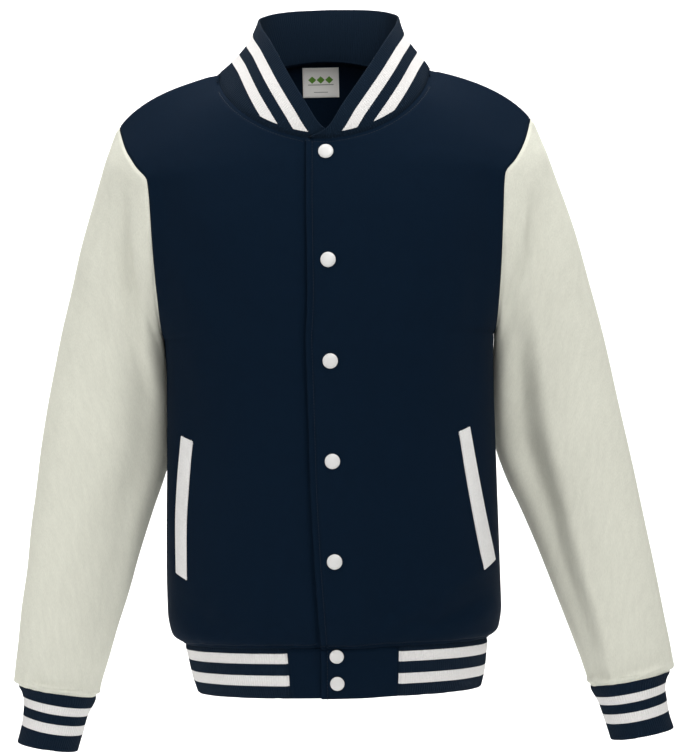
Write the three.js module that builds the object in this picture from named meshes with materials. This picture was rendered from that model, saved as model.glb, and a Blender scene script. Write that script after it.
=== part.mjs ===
// A button-up varsity jacket in sweatshirt fleece, standing hollow in the shape that it has when it is worn.
// Millimetres. +X is the wearer's left, +Y the wearer's back and +Z up. The origin is on the midline,
// level with the shoulder seams at the neck, where the wearer's shoulders carry the jacket.
import * as THREE from "three";

// Driving dimensions
const CLOTH = 2.2; // wall of the fleece panels
const RIB = 2.6; // wall of the doubled rib knit
const WELT = 1.7; // wall of the pocket welts
const LABEL = 0.8; // wall of the woven neck label
const TAPE = 1; // wall of the tape inside the back neckline
const SEAM_GAP = 0.4; // between two pieces at a seam
const SEAT = 0.35; // between a panel and what lies on it
const LIFT = 3.1; // how far the upper front stands over the lower one
const FRONT_EDGE = 20; // from the line of snaps to the edge of a front
const TAB_END = { upper: 66, lower: 55 }; // where the plain hem tabs meet the rib, from the line of snaps
const NECK_HALF = 117; // half width of the neckline at the shoulder seams
const NECK_FRONT_Z = -75; // the neckline at the centre front
const NECK_BACK_Y = 66; // the neckline at the centre back
const NECK_SQUARE = { front: 1.8, back: 2 }; // exponents of the neckline's two curves
const COLLAR_LEAN = 6.5; // how far the collar's top edge leans to the wearer's left
const SLEEVE_SWING = 6.5; // how far both sleeve ends hang towards the wearer's left
const OUTER_SWING = 1.5; // how far the outer sides of both sleeves do
const UNDERARM = 331; // the underarm point and the shoulder seam, in the column "up" of the two tables below
const SHOULDER = 602;

// The front half panel as one row for each level, from the hem seam (up 0) to the shoulder seam.
// Each row is one cubic curve: it starts on the centre line at (0, cy, cz) and runs level for its handle,
// reach, and it ends on the side seam or armhole at (sx, sy, sz) along the handle (hx, hy, hz).
const FRONT_ROWS = [
  { up: 0, cy: -110, cz: -617, reach: 98, sx: 167, sy: 8, sz: -619, hx: 0, hy: -64, hz: 0 },
  { up: 12, cy: -117, cz: -607, reach: 105, sx: 180, sy: 8, sz: -607, hx: 0, hy: -70, hz: 0 },
  { up: 36, cy: -122, cz: -582, reach: 110, sx: 184, sy: 8, sz: -582, hx: 0, hy: -74, hz: 0 },
  { up: 118, cy: -122, cz: -500, reach: 110, sx: 183, sy: 8, sz: -500, hx: 0, hy: -74, hz: 0 },
  { up: 218, cy: -121, cz: -400, reach: 110, sx: 181, sy: 8, sz: -400, hx: 0, hy: -74, hz: 0 },
  { up: 288, cy: -122, cz: -330, reach: 113, sx: 180, sy: 8, sz: -330, hx: 0, hy: -84, hz: 0 },
  { up: 331, cy: -123, cz: -287, reach: 116, sx: 181.5, sy: 8, sz: -287, hx: 0, hy: -94, hz: 0 },
  { up: 349, cy: -123, cz: -270, reach: 110, sx: 182.5, sy: -11, sz: -281, hx: -8, hy: -81, hz: 0 },
  { up: 368, cy: -123, cz: -254, reach: 105, sx: 184.5, sy: -28, sz: -266, hx: -17, hy: -69, hz: 0 },
  { up: 396, cy: -122, cz: -230, reach: 102, sx: 187, sy: -44, sz: -240, hx: -26, hy: -56, hz: 1 },
  { up: 430, cy: -120, cz: -198, reach: 102, sx: 189, sy: -55, sz: -205, hx: -33, hy: -46, hz: 2 },
  { up: 476, cy: -114, cz: -150, reach: 103, sx: 191, sy: -62, sz: -160, hx: -44, hy: -36, hz: 4 },
  { up: 522, cy: -103, cz: -102, reach: 100, sx: 194, sy: -60, sz: -114, hx: -54, hy: -26, hz: 8 },
  { up: 548, cy: -84, cz: -57, reach: 95, sx: 207, sy: -47, sz: -96, hx: -57, hy: -20, hz: 18 },
  { up: 574, cy: -48, cz: -8, reach: 88, sx: 219, sy: -26, sz: -75, hx: -54, hy: -10, hz: 32 },
  { up: 602, cy: 0, cz: 20, reach: 72, sx: 228, sy: 2, sz: -49, hx: -42, hy: 0, hz: 55 },
];
// The back half panel in the same columns. Its side seam and shoulder seam are those of the front.
const BACK_ROWS = [
  { up: 0, cy: 106, cz: -617, reach: 98, sx: 167, sy: 8, sz: -619, hx: 0, hy: 46, hz: 0 },
  { up: 12, cy: 113, cz: -607, reach: 105, sx: 180, sy: 8, sz: -607, hx: 0, hy: 46, hz: 0 },
  { up: 36, cy: 118, cz: -582, reach: 106, sx: 184, sy: 8, sz: -582, hx: 0, hy: 44, hz: 0 },
  { up: 118, cy: 116, cz: -500, reach: 104, sx: 183, sy: 8, sz: -500, hx: 0, hy: 36, hz: 0 },
  { up: 218, cy: 112, cz: -400, reach: 102, sx: 181, sy: 8, sz: -400, hx: 0, hy: 30, hz: 0 },
  { up: 288, cy: 114, cz: -330, reach: 106, sx: 180, sy: 8, sz: -330, hx: 0, hy: 46, hz: 0 },
  { up: 331, cy: 117, cz: -287, reach: 112, sx: 181.5, sy: 8, sz: -287, hx: 0, hy: 66, hz: 0 },
  { up: 349, cy: 118, cz: -270, reach: 108, sx: 182.5, sy: 26, sz: -280, hx: -7, hy: 60, hz: 0 },
  { up: 368, cy: 120, cz: -254, reach: 104, sx: 184.5, sy: 42, sz: -265, hx: -16, hy: 53, hz: 0 },
  { up: 396, cy: 122, cz: -229, reach: 102, sx: 187, sy: 58, sz: -239, hx: -26, hy: 44, hz: 1 },
  { up: 430, cy: 124, cz: -195, reach: 102, sx: 190, sy: 71, sz: -205, hx: -36, hy: 36, hz: 2 },
  { up: 476, cy: 124, cz: -145, reach: 103, sx: 193, sy: 77, sz: -160, hx: -47, hy: 30, hz: 4 },
  { up: 522, cy: 119, cz: -92, reach: 102, sx: 197, sy: 70, sz: -116, hx: -56, hy: 26, hz: 8 },
  { up: 548, cy: 104, cz: -32, reach: 96, sx: 208, sy: 52, sz: -96, hx: -58, hy: 22, hz: 18 },
  { up: 574, cy: 66, cz: 27, reach: 88, sx: 219, sy: 28, sz: -75, hx: -54, hy: 13, hz: 32 },
  { up: 602, cy: 0, cz: 20, reach: 72, sx: 228, sy: 2, sz: -49, hx: -42, hy: 0, hz: 55 },
];
// The rib hem and its tabs: rings from the bottom edge (up 0) to the seam with the body, in the same columns.
const HEM_FRONT = [
  { up: 0, cy: -103, cz: -670.5, reach: 92, sx: 156, sy: 8, sz: -672, hx: 0, hy: -60, hz: 0 },
  { up: 17, cy: -107, cz: -653, reach: 95, sx: 161, sy: 8, sz: -654, hx: 0, hy: -62, hz: 0 },
  { up: 38, cy: -108, cz: -632, reach: 96, sx: 164.5, sy: 8, sz: -633, hx: 0, hy: -63, hz: 0 },
  { up: 52, cy: -110, cz: -617, reach: 98, sx: 167, sy: 8, sz: -619, hx: 0, hy: -64, hz: 0 },
];
const HEM_BACK = [
  { up: 0, cy: 99, cz: -670.5, reach: 92, sx: 156, sy: 8, sz: -672, hx: 0, hy: 44, hz: 0 },
  { up: 17, cy: 103, cz: -653, reach: 95, sx: 161, sy: 8, sz: -654, hx: 0, hy: 45, hz: 0 },
  { up: 38, cy: 104, cz: -632, reach: 96, sx: 164.5, sy: 8, sz: -633, hx: 0, hy: 45, hz: 0 },
  { up: 52, cy: 106, cz: -617, reach: 98, sx: 167, sy: 8, sz: -619, hx: 0, hy: 46, hz: 0 },
];
const HEM_SEAM_Z = -617;

// Rings of one sleeve, from just below the armhole to the cuff seam. Each is an ellipse through the sleeve's
// outer point (ox, oz) and inner point (ix, iz), with its middle at y and the half depth given.
const SLEEVE_RINGS = [
  { ox: 241, oz: -77, ix: 182, iz: -301, y: 17, half: 65 },
  { ox: 254.5, oz: -115, ix: 180.8, iz: -319, y: 27, half: 65 },
  { ox: 275, oz: -178, ix: 179.9, iz: -346, y: 32, half: 63 },
  { ox: 291, oz: -240, ix: 179.3, iz: -378, y: 36, half: 60 },
  { ox: 306.5, oz: -306, ix: 180.5, iz: -408, y: 36, half: 58 },
  { ox: 319.5, oz: -372, ix: 188.5, iz: -438, y: 30, half: 55 },
  { ox: 331.5, oz: -440, ix: 205, iz: -482, y: 25, half: 52 },
  { ox: 342.5, oz: -516, ix: 225, iz: -541, y: 15, half: 49 },
  { ox: 353, oz: -588, ix: 248.5, iz: -609, y: 4, half: 46 },
  { ox: 360, oz: -634, ix: 262.5, iz: -652, y: -3, half: 43 },
  { ox: 361.5, oz: -651, ix: 267, iz: -668, y: -5, half: 41 },
  { ox: 359, oz: -659, ix: 270, iz: -674, y: -6, half: 38 },
];
// Rings of one rib cuff, from the seam with the sleeve to its open end.
const CUFF_RINGS = [
  { ox: 359, oz: -659, ix: 270, iz: -674, y: -6, half: 38 },
  { ox: 354, oz: -667, ix: 273.5, iz: -681, y: -6, half: 35 },
  { ox: 352, oz: -680, ix: 280, iz: -693, y: -7, half: 33 },
  { ox: 354, oz: -698, ix: 285.5, iz: -711, y: -8, half: 32 },
  { ox: 360, oz: -721, ix: 292.5, iz: -733, y: -9, half: 31 },
];

// The collar's folded top edge from just past the centre front (turn -0.16) by the side (1) to the centre
// back (2), with the bow of the band between the neckline and that edge.
const COLLAR_TOP = [
  { turn: -0.16, x: -18, y: -94, z: -71.5, bow: 0 },
  { turn: 0, x: 0, y: -96, z: -64, bow: 0 },
  { turn: 0.3, x: 21.5, y: -90, z: -33, bow: 1.5 },
  { turn: 0.57, x: 42, y: -72, z: 0, bow: 1.5 },
  { turn: 0.82, x: 63, y: -42, z: 37, bow: 0 },
  { turn: 1, x: 74.5, y: -8, z: 57, bow: -2.5 },
  { turn: 1.22, x: 78, y: 24, z: 69, bow: -3.5 },
  { turn: 1.48, x: 67.5, y: 52, z: 77.5, bow: -3 },
  { turn: 1.74, x: 38, y: 69, z: 83, bow: -2.5 },
  { turn: 2, x: 0, y: 74, z: 84.5, bow: -2 },
];

// How far the whole body and its front edge have swung to the wearer's left at each height.
const SWAY = [
  { z: -671, all: 2.4, edge: 0 },
  { z: -632, all: 1, edge: 3 },
  { z: -600, all: -1, edge: 7 },
  { z: -530, all: -1.5, edge: 4 },
  { z: -430, all: -1, edge: 0 },
  { z: -300, all: -0.3, edge: -1 },
  { z: -75, all: 0, edge: 0 },
];
const SWAY_WIDTH = 60;

// Main folds of the body: soft troughs, or ridges where depth is negative, along a line seen from the front.
// The face is -1 on the front and 1 on the back.
const BODY_FOLDS = [
  { face: -1, x1: -183, z1: -135, x2: -104, z2: -262, width: 24, depth: 4.5 },
  { face: -1, x1: 184, z1: -132, x2: 118, z2: -275, width: 24, depth: 4 },
  { face: -1, x1: -150, z1: -330, x2: -128, z2: -470, width: 28, depth: 3 },
  { face: -1, x1: 172, z1: -560, x2: 92, z2: -606, width: 15, depth: 3.5 },
  { face: -1, x1: 60, z1: -520, x2: 46, z2: -600, width: 18, depth: 2.5 },
  { face: -1, x1: -166, z1: -570, x2: -120, z2: -602, width: 13, depth: 3 },
  { face: -1, x1: -42, z1: -548, x2: -70, z2: -604, width: 16, depth: 2 },
  { face: 1, x1: -178, z1: -150, x2: -80, z2: -300, width: 26, depth: 4.5 },
  { face: 1, x1: 178, z1: -145, x2: 92, z2: -285, width: 26, depth: 4.5 },
  { face: 1, x1: -120, z1: -420, x2: -60, z2: -585, width: 26, depth: 3.5 },
  { face: 1, x1: 130, z1: -440, x2: 82, z2: -590, width: 24, depth: 3.5 },
  { face: 1, x1: -20, z1: -470, x2: 10, z2: -600, width: 22, depth: 2.5 },
];

// Main folds of a sleeve, along a line from (along1, round1) to (along2, round2). Along runs from 0 at the
// armhole to 1 at the cuff seam. Round is 0 at the outside, 90 at the front, 180 inside and 270 at the back.
const SLEEVE_FOLDS = [
  { along1: 0.04, round1: 48, along2: 0.34, round2: 108, width: 0.11, depth: 6 },
  { along1: 0.06, round1: 84, along2: 0.3, round2: 140, width: 0.07, depth: -3 },
  { along1: 0.5, round1: 132, along2: 0.72, round2: 96, width: 0.09, depth: 6 },
  { along1: 0.62, round1: 160, along2: 0.78, round2: 122, width: 0.08, depth: 4 },
  { along1: 0.06, round1: 318, along2: 0.36, round2: 256, width: 0.12, depth: 5 },
  { along1: 0.5, round1: 292, along2: 0.66, round2: 236, width: 0.1, depth: 5 },
  { along1: 0.66, round1: 220, along2: 0.8, round2: 262, width: 0.08, depth: 4 },
  { along1: 0.87, round1: 44, along2: 0.9, round2: 96, width: 0.06, depth: 4 },
  { along1: 0.91, round1: 120, along2: 0.88, round2: 166, width: 0.06, depth: 4 },
  { along1: 0.9, round1: 230, along2: 0.87, round2: 290, width: 0.07, depth: 4 },
];
const DEGREES_PER_LENGTH = 260; // degrees round a sleeve that are as long as its whole length

const SNAPS = [
  { z: -89, radius: 8.1 },
  { z: -205, radius: 8.1 },
  { z: -312, radius: 8.1 },
  { z: -418, radius: 8.1 },
  { z: -524, radius: 8.1 },
  { z: -625, radius: 7.6 },
  { z: -654, radius: 7.6 },
];
const SNAP_HEIGHT = 2.6;
// Half of a cap's section: r in shares of its radius, h in shares of its height
const SNAP_PROFILE = [
  { r: 0, h: 0 },
  { r: 0.94, h: 0 },
  { r: 1, h: 0.25 },
  { r: 0.97, h: 0.45 },
  { r: 0.8, h: 0.74 },
  { r: 0.45, h: 0.95 },
  { r: 0, h: 1 },
];

// Centre lines of the pocket welts as seen from the front, from the upper end to the lower.
const WELTS = {
  right: [
    { x: -156, z: -392 },
    { x: -161.5, z: -440 },
    { x: -165, z: -490 },
    { x: -165.5, z: -541 },
  ],
  left: [
    { x: 142.5, z: -388 },
    { x: 151, z: -440 },
    { x: 160.5, z: -494 },
    { x: 168.5, z: -536 },
  ],
};
const WELT_WIDTH = 21;
const WELT_SLOPE = 0.32; // rise of a welt's ends towards the side seam
const WELT_STEPS = { across: 4, along: 15 };

const LABEL_WIDTH = 41;
const LABEL_DROP = 34;
const LABEL_X = -4;
const TAPE_EDGES = { upper: 0.6, lower: 7.6 }; // down from the neckline
const LABEL_BELOW = 7; // from the neckline to the top of the label

// How finely the pieces are faceted
const LOWER_ROWS = [0, 12, 36, 76, 118, 168, 218, 260, 300];
const ARMHOLE_ROWS = [331, 350, 370, 398, 430, 462, 494, 522, 540, 560, 581, 602];
const NECK_ANGLES = [0, 13, 26, 38, 49, 59, 68, 76, 83, 90]; // degrees from the centre front or back
const SHOULDER_STEPS = 7;
const SIDE_STEPS = 9; // from a tab's end to the side seam
const HEM_ROWS = [0, 17, 38, 52];
const SLEEVE_ROWS = 18;
const COLLAR_ROWS = 5;

const COLOURS = { navy: 0x14202f, cream: 0xd6d4c8, white: 0xece9e6, rib: 0x121d2b, label: 0xd9d7d2 };
const FINISH = { cloth: 0.95, knit: 0.9, plastic: 0.35 };

const vec = (x, y, z) => new THREE.Vector3(x, y, z);
const mix = THREE.MathUtils.lerp;
const ease = (t) => THREE.MathUtils.smoothstep(t, 0, 1);

// A slope between two neighbouring slopes that never makes the curve overshoot its rows.
function steadySlope(before, after) {
  return before * after > 0 ? (2 * before * after) / (before + after) : 0;
}

// The values of a table at the place t in its column key, on smooth curves through the rows.
function between(table, key, t) {
  const last = table.length - 1;
  let k = 0;
  while (k < last - 1 && t > table[k + 1][key]) k += 1;
  const span = table[k + 1][key] - table[k][key];
  const s = (t - table[k][key]) / span;
  const row = {};
  for (const name of Object.keys(table[k])) {
    const slopeOf = (i) => (table[i + 1][name] - table[i][name]) / (table[i + 1][key] - table[i][key]);
    const slope = slopeOf(k);
    const leaving = span * (k > 0 ? steadySlope(slopeOf(k - 1), slope) : slope);
    const arriving = span * (k < last - 1 ? steadySlope(slope, slopeOf(k + 1)) : slope);
    const [start, rise] = [table[k][name], table[k + 1][name] - table[k][name]];
    const bend = 3 * rise - 2 * leaving - arriving;
    row[name] = start + s * (leaving + s * (bend + s * (leaving + arriving - 2 * rise)));
  }
  return row;
}

// A share from 0 to 1 of how close (p, q) lies to the line of a fold, in the fold's own widths.
function nearFold(p, q, fold, p1, q1, p2, q2) {
  const [dp, dq] = [p2 - p1, q2 - q1];
  const t = THREE.MathUtils.clamp(((p - p1) * dp + (q - q1) * dq) / (dp * dp + dq * dq), 0, 1);
  const away = Math.hypot(p - p1 - t * dp, q - q1 - t * dq) / fold.width;
  return Math.exp(-away * away) * (0.35 + 0.65 * Math.sin(Math.PI * (0.15 + 0.7 * t)));
}

// The plain outside of the body: across is 0 on the centre line, 1 on the wearer's left side seam or
// armhole and -1 on the right one.
function plainBody(rows, across, up) {
  const row = between(rows, "up", up);
  const t = Math.abs(across);
  const [w0, w1, w2, w3] = [(1 - t) ** 3, 3 * t * (1 - t) ** 2, 3 * t * t * (1 - t), t ** 3];
  const x = w1 * row.reach + w2 * (row.sx + row.hx) + w3 * row.sx;
  const y = (w0 + w1) * row.cy + w2 * (row.sy + row.hy) + w3 * row.sy;
  const z = (w0 + w1) * row.cz + w2 * (row.sz + row.hz) + w3 * row.sz;
  return vec(Math.sign(across) * x, y, z);
}

// The outside of the body with its sway and its folds.
function body(rows, across, up) {
  const p = plainBody(rows, across, up);
  const face = Math.sign(rows[0].cy);
  let sink = 0;
  for (const f of BODY_FOLDS) {
    if (f.face === face) sink += f.depth * nearFold(p.x, p.z, f, f.x1, f.z1, f.x2, f.z2);
  }
  const held = ease(up / 30) * ease((SHOULDER - up) / 60) * ease((1 - Math.abs(across)) / 0.12);
  const inward = vec(-p.x / 2, -p.y, 0).normalize().multiplyScalar(sink * held);
  p.x += sway(p);
  return p.add(inward);
}

// How far a point of the body has swung to the wearer's left.
function sway(p) {
  const swing = between(SWAY, "z", THREE.MathUtils.clamp(p.z, SWAY[0].z, -75));
  return swing.all + (p.y < 0 ? swing.edge * Math.exp(-((p.x / SWAY_WIDTH) ** 2)) : 0);
}

// The place (across, up) on the body where its plain outside has the wanted x and the wanted other value.
function findOnBody(rows, x, axis, value) {
  const side = Math.sign(x) || 1;
  const acrossAt = (up) => {
    let [low, high] = [0, 1];
    for (let i = 0; i < 40; i += 1) {
      const middle = (low + high) / 2;
      if (plainBody(rows, middle, up).x < Math.abs(x)) low = middle;
      else high = middle;
    }
    return side * low;
  };
  const rising = axis === "z" ? 1 : -1;
  let [low, high] = [rows[0].up, rows[rows.length - 1].up];
  for (let i = 0; i < 40; i += 1) {
    const middle = (low + high) / 2;
    if ((plainBody(rows, acrossAt(middle), middle)[axis] - value) * rising < 0) low = middle;
    else high = middle;
  }
  return { across: acrossAt(low), up: low };
}

// The place on the body where the neckline lies, at an angle from the centre front or back.
function neckPlace(rows, degrees) {
  const atShoulder = findAcross(rows, NECK_HALF, SHOULDER);
  const corner = plainBody(rows, atShoulder, SHOULDER);
  const side = Math.sign(degrees) || 1;
  if (Math.abs(degrees) >= 90) return { across: side * atShoulder, up: SHOULDER };
  const angle = THREE.MathUtils.degToRad(Math.abs(degrees));
  const front = rows === FRONT_ROWS;
  const power = 2 / (front ? NECK_SQUARE.front : NECK_SQUARE.back);
  const x = side * NECK_HALF * Math.sin(angle) ** power;
  const fall = Math.cos(angle) ** power;
  if (front) return findOnBody(rows, x, "z", mix(corner.z, NECK_FRONT_Z, fall));
  return findOnBody(rows, x, "y", mix(corner.y, NECK_BACK_Y, fall));
}

function findAcross(rows, x, up) {
  let [low, high] = [0, 1];
  for (let i = 0; i < 40; i += 1) {
    const middle = (low + high) / 2;
    if (plainBody(rows, middle, up).x < x) low = middle;
    else high = middle;
  }
  return low;
}

// A sheet is a grid of points, sheet[i][j], that may close on itself in i. Its normals point out of the cloth.
function normalsOf(points, closed) {
  const last = points.length - 1;
  return points.map((line, i) =>
    line.map((_, j) => {
      const next = closed ? points[(i + 1) % points.length] : points[Math.min(i + 1, last)];
      const before = closed ? points[(i + last) % points.length] : points[Math.max(i - 1, 0)];
      const along = next[j].clone().sub(before[j]);
      const up = line[Math.min(j + 1, line.length - 1)].clone().sub(line[Math.max(j - 1, 0)]);
      return along.cross(up).normalize();
    }),
  );
}

function makeSheet(points, closed = false) {
  return { points, closed, normals: normalsOf(points, closed) };
}

// Turns a sheet over, so that its normals point the other way.
function turned(sheet) {
  return makeSheet([...sheet.points].reverse(), sheet.closed);
}

// The places [i, j] round a sheet's border, each with the place next to it inside the sheet.
function borderOf(sheet) {
  const [columns, rows] = [sheet.points.length, sheet.points[0].length];
  const border = [];
  for (let i = 0; i < columns; i += 1) {
    for (let j = 0; j < rows; j += 1) {
      const atEnd = !sheet.closed && (i === 0 || i === columns - 1);
      if (!atEnd && j > 0 && j < rows - 1) continue;
      const nextI = atEnd ? THREE.MathUtils.clamp(i, 1, columns - 2) : i;
      const nextJ = THREE.MathUtils.clamp(j, 1, rows - 2);
      border.push({ i, j, nextI, nextJ });
    }
  }
  return border;
}

// Sews sheets together. Where their borders meet they get one shared normal, so that all the walls end in
// the same plane, and each border is then drawn back by half a seam gap.
function sew(sheets) {
  const met = new Map();
  for (const sheet of sheets) {
    for (const { i, j } of borderOf(sheet)) {
      const key = sheet.points[i][j].toArray().map((v) => Math.round(v * 100)).join();
      if (!met.has(key)) met.set(key, []);
      met.get(key).push(sheet.normals[i][j]);
    }
  }
  for (const normals of met.values()) {
    const shared = normals.reduce((sum, n) => sum.add(n), vec(0, 0, 0)).normalize();
    normals.forEach((n) => n.copy(shared));
  }
  for (const sheet of sheets) {
    const moves = borderOf(sheet).map(({ i, j, nextI, nextJ }) => {
      const inward = sheet.points[nextI][nextJ].clone().sub(sheet.points[i][j]).normalize();
      return { point: sheet.points[i][j], move: inward.multiplyScalar(SEAM_GAP / 2) };
    });
    moves.forEach(({ point, move }) => point.add(move));
  }
}

// Whether the facet at (i, j) of a sheet is split from its lower first corner to its upper second one.
function splitsUp(points, i, j) {
  const next = points[(i + 1) % points.length];
  return points[i][j].distanceTo(next[j + 1]) < next[j].distanceTo(points[i][j + 1]) + 0.01;
}

// A closed wall between the sheet moved out by its lift and the same sheet moved in by the wall's thickness.
function wall(sheet, thickness, lift = 0) {
  const { points, normals, closed } = sheet;
  const [columns, rows] = [points.length, points[0].length];
  const position = [];
  for (const depth of [lift, lift - thickness]) {
    points.forEach((line, i) =>
      line.forEach((p, j) => position.push(...p.clone().addScaledVector(normals[i][j], depth).toArray())),
    );
  }
  const index = [];
  const outer = (i, j) => (i % columns) * rows + j;
  const inner = (i, j) => columns * rows + outer(i, j);
  const order = (k) => position[3 * k] + 1.7 * position[3 * k + 1] + 2.3 * position[3 * k + 2];
  const facet = (a, b, c, d, up) => index.push(...(up ? [a, b, c, a, c, d] : [a, b, d, b, c, d]));
  const edge = (a, b, c, d) => facet(a, b, c, d, order(a) > order(d));
  const steps = closed ? columns : columns - 1;
  for (let i = 0; i < steps; i += 1) {
    for (let j = 0; j < rows - 1; j += 1) {
      const up = splitsUp(points, i, j);
      facet(outer(i, j), outer(i + 1, j), outer(i + 1, j + 1), outer(i, j + 1), up);
      facet(inner(i + 1, j), inner(i, j), inner(i, j + 1), inner(i + 1, j + 1), !up);
    }
    edge(outer(i, 0), inner(i, 0), inner(i + 1, 0), outer(i + 1, 0));
    edge(outer(i + 1, rows - 1), inner(i + 1, rows - 1), inner(i, rows - 1), outer(i, rows - 1));
  }
  if (!closed) {
    for (let j = 0; j < rows - 1; j += 1) {
      edge(outer(0, j + 1), inner(0, j + 1), inner(0, j), outer(0, j));
      edge(outer(columns - 1, j), inner(columns - 1, j), inner(columns - 1, j + 1), outer(columns - 1, j + 1));
    }
  }
  return new THREE.BufferGeometry()
    .setAttribute("position", new THREE.Float32BufferAttribute(position, 3))
    .setIndex(index);
}

const jacket = new THREE.Group();
const materials = {
  navy: new THREE.MeshStandardMaterial({ color: COLOURS.navy, roughness: FINISH.cloth, metalness: 0 }),
  cream: new THREE.MeshStandardMaterial({ color: COLOURS.cream, roughness: FINISH.cloth, metalness: 0 }),
  rib: new THREE.MeshStandardMaterial({ color: COLOURS.rib, roughness: FINISH.knit, metalness: 0 }),
  white: new THREE.MeshStandardMaterial({ color: COLOURS.white, roughness: FINISH.knit, metalness: 0 }),
  plastic: new THREE.MeshStandardMaterial({ color: COLOURS.white, roughness: FINISH.plastic, metalness: 0 }),
  label: new THREE.MeshStandardMaterial({ color: COLOURS.label, roughness: FINISH.knit, metalness: 0 }),
};

function add(name, geometry, material) {
  const mesh = new THREE.Mesh(geometry, material);
  mesh.name = name;
  jacket.add(mesh);
  return mesh;
}

// How far a piece of the upper front stands off at x: all of LIFT over the lower front, and none past it.
function liftAt(x) {
  return LIFT * ease((60 - x) / 36);
}

// Raises the part of a sheet that laps over the lower front.
function raise(sheet, applies = () => true) {
  sheet.points.forEach((line, i) => {
    const lift = (p) => liftAt(sheet.bases ? sheet.bases[i] : p.x);
    if (applies(i)) line.forEach((p, j) => p.addScaledVector(sheet.normals[i][j], lift(p)));
  });
}

// Places across the hem, from a front edge past the centre line to the end of its tab and on to the side seam.
function hemPlaces(rows, up, edge, tabEnd, count) {
  const tabSteps = count - SIDE_STEPS;
  const [start, end] = [-findAcross(rows, edge, up), findAcross(rows, tabEnd, up)];
  const places = [];
  for (let i = 0; i <= count; i += 1) {
    places.push(i <= tabSteps ? mix(start, end, i / tabSteps) : mix(end, 1, (i - tabSteps) / SIDE_STEPS));
  }
  return places;
}

// The upper ends of a panel's columns: round the neckline from the centre, then along the shoulder seam.
function topPlaces(rows, angles) {
  const neck = angles.map((degrees) => neckPlace(rows, degrees));
  const corner = neck[neck.length - 1].across;
  for (let i = 1; i <= SHOULDER_STEPS; i += 1) {
    neck.push({ across: mix(corner, 1, i / SHOULDER_STEPS), up: SHOULDER });
  }
  return neck;
}

// One column of a panel, from its place on the hem seam to its place on the neckline or shoulder seam.
function column(rows, side, hemAcross, top) {
  const levels = [...LOWER_ROWS, ...ARMHOLE_ROWS];
  return levels.map((level) => {
    const share = Math.max(0, (level - UNDERARM) / (SHOULDER - UNDERARM));
    const up = share > 0 ? mix(UNDERARM, top.up, share) : level;
    const across = mix(hemAcross, top.across, ease(level / SHOULDER));
    return body(rows, side * across, up);
  });
}

// The degrees round the neckline where a front's edge meets it, past the centre line.
const EDGE_ANGLE = THREE.MathUtils.radToDeg(
  Math.asin((FRONT_EDGE / NECK_HALF) ** (NECK_SQUARE.front / 2)),
);
const FRONT_ANGLES = [-EDGE_ANGLE, -EDGE_ANGLE / 2, ...NECK_ANGLES];

function frontLines(side, tabEnd) {
  const tops = topPlaces(FRONT_ROWS, FRONT_ANGLES);
  const hems = hemPlaces(FRONT_ROWS, 0, FRONT_EDGE, tabEnd, tops.length - 1);
  return tops.map((top, i) => column(FRONT_ROWS, side, hems[i], top));
}

function backLines() {
  const tops = topPlaces(BACK_ROWS, NECK_ANGLES);
  const half = (side) =>
    tops.map((top, i) => column(BACK_ROWS, side, i / (tops.length - 1), top));
  return [...half(-1).reverse(), ...half(1).slice(1)];
}

// A band of the hem below a panel: places across, in the order of the panel's columns.
function hemBand(rows, side, places) {
  return places.map((across) => HEM_ROWS.map((up) => hemPoint(rows, side * across, up)));
}

function hemPoint(rows, across, up) {
  const p = plainBody(rows, across, up);
  p.x += sway(p);
  return p;
}

// A ring of a sleeve or cuff, at the given degrees round it.
function ringPoint(ring, side, degrees) {
  const angle = THREE.MathUtils.degToRad(degrees);
  const [outer, inner] = [vec(ring.ox, ring.y, ring.oz), vec(ring.ix, ring.y, ring.iz)];
  const p = outer.clone().add(inner).multiplyScalar(0.5);
  p.addScaledVector(outer.sub(inner).multiplyScalar(0.5), Math.cos(angle));
  p.y -= ring.half * Math.sin(angle);
  p.x *= side;
  p.x += SLEEVE_SWING * ease((-p.z - 330) / 370);
  p.x += OUTER_SWING * ease((-p.z - 60) / 120) * (0.5 + 0.5 * Math.cos(angle));
  return p;
}

// The armhole of one side as the sleeve's own first ring: over the front from the shoulder to the underarm,
// then up the back, with each point's share of the way round in degrees.
function armholeRing(side) {
  const down = [...ARMHOLE_ROWS].reverse().map((up) => body(FRONT_ROWS, side, up));
  const rise = ARMHOLE_ROWS.slice(1, -1).map((up) => body(BACK_ROWS, side, up));
  const degreesOf = (line) => {
    const lengths = [0];
    for (let i = 1; i < line.length; i += 1) lengths.push(lengths[i - 1] + line[i].distanceTo(line[i - 1]));
    return lengths.map((length) => (180 * length) / lengths[lengths.length - 1]);
  };
  const frontDegrees = degreesOf(down);
  const backDegrees = degreesOf([down[down.length - 1], ...rise, down[0]]).slice(1, -1);
  return [
    ...down.map((point, i) => ({ point, degrees: frontDegrees[i] })),
    ...rise.map((point, i) => ({ point, degrees: 180 + backDegrees[i] })),
  ];
}

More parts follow.
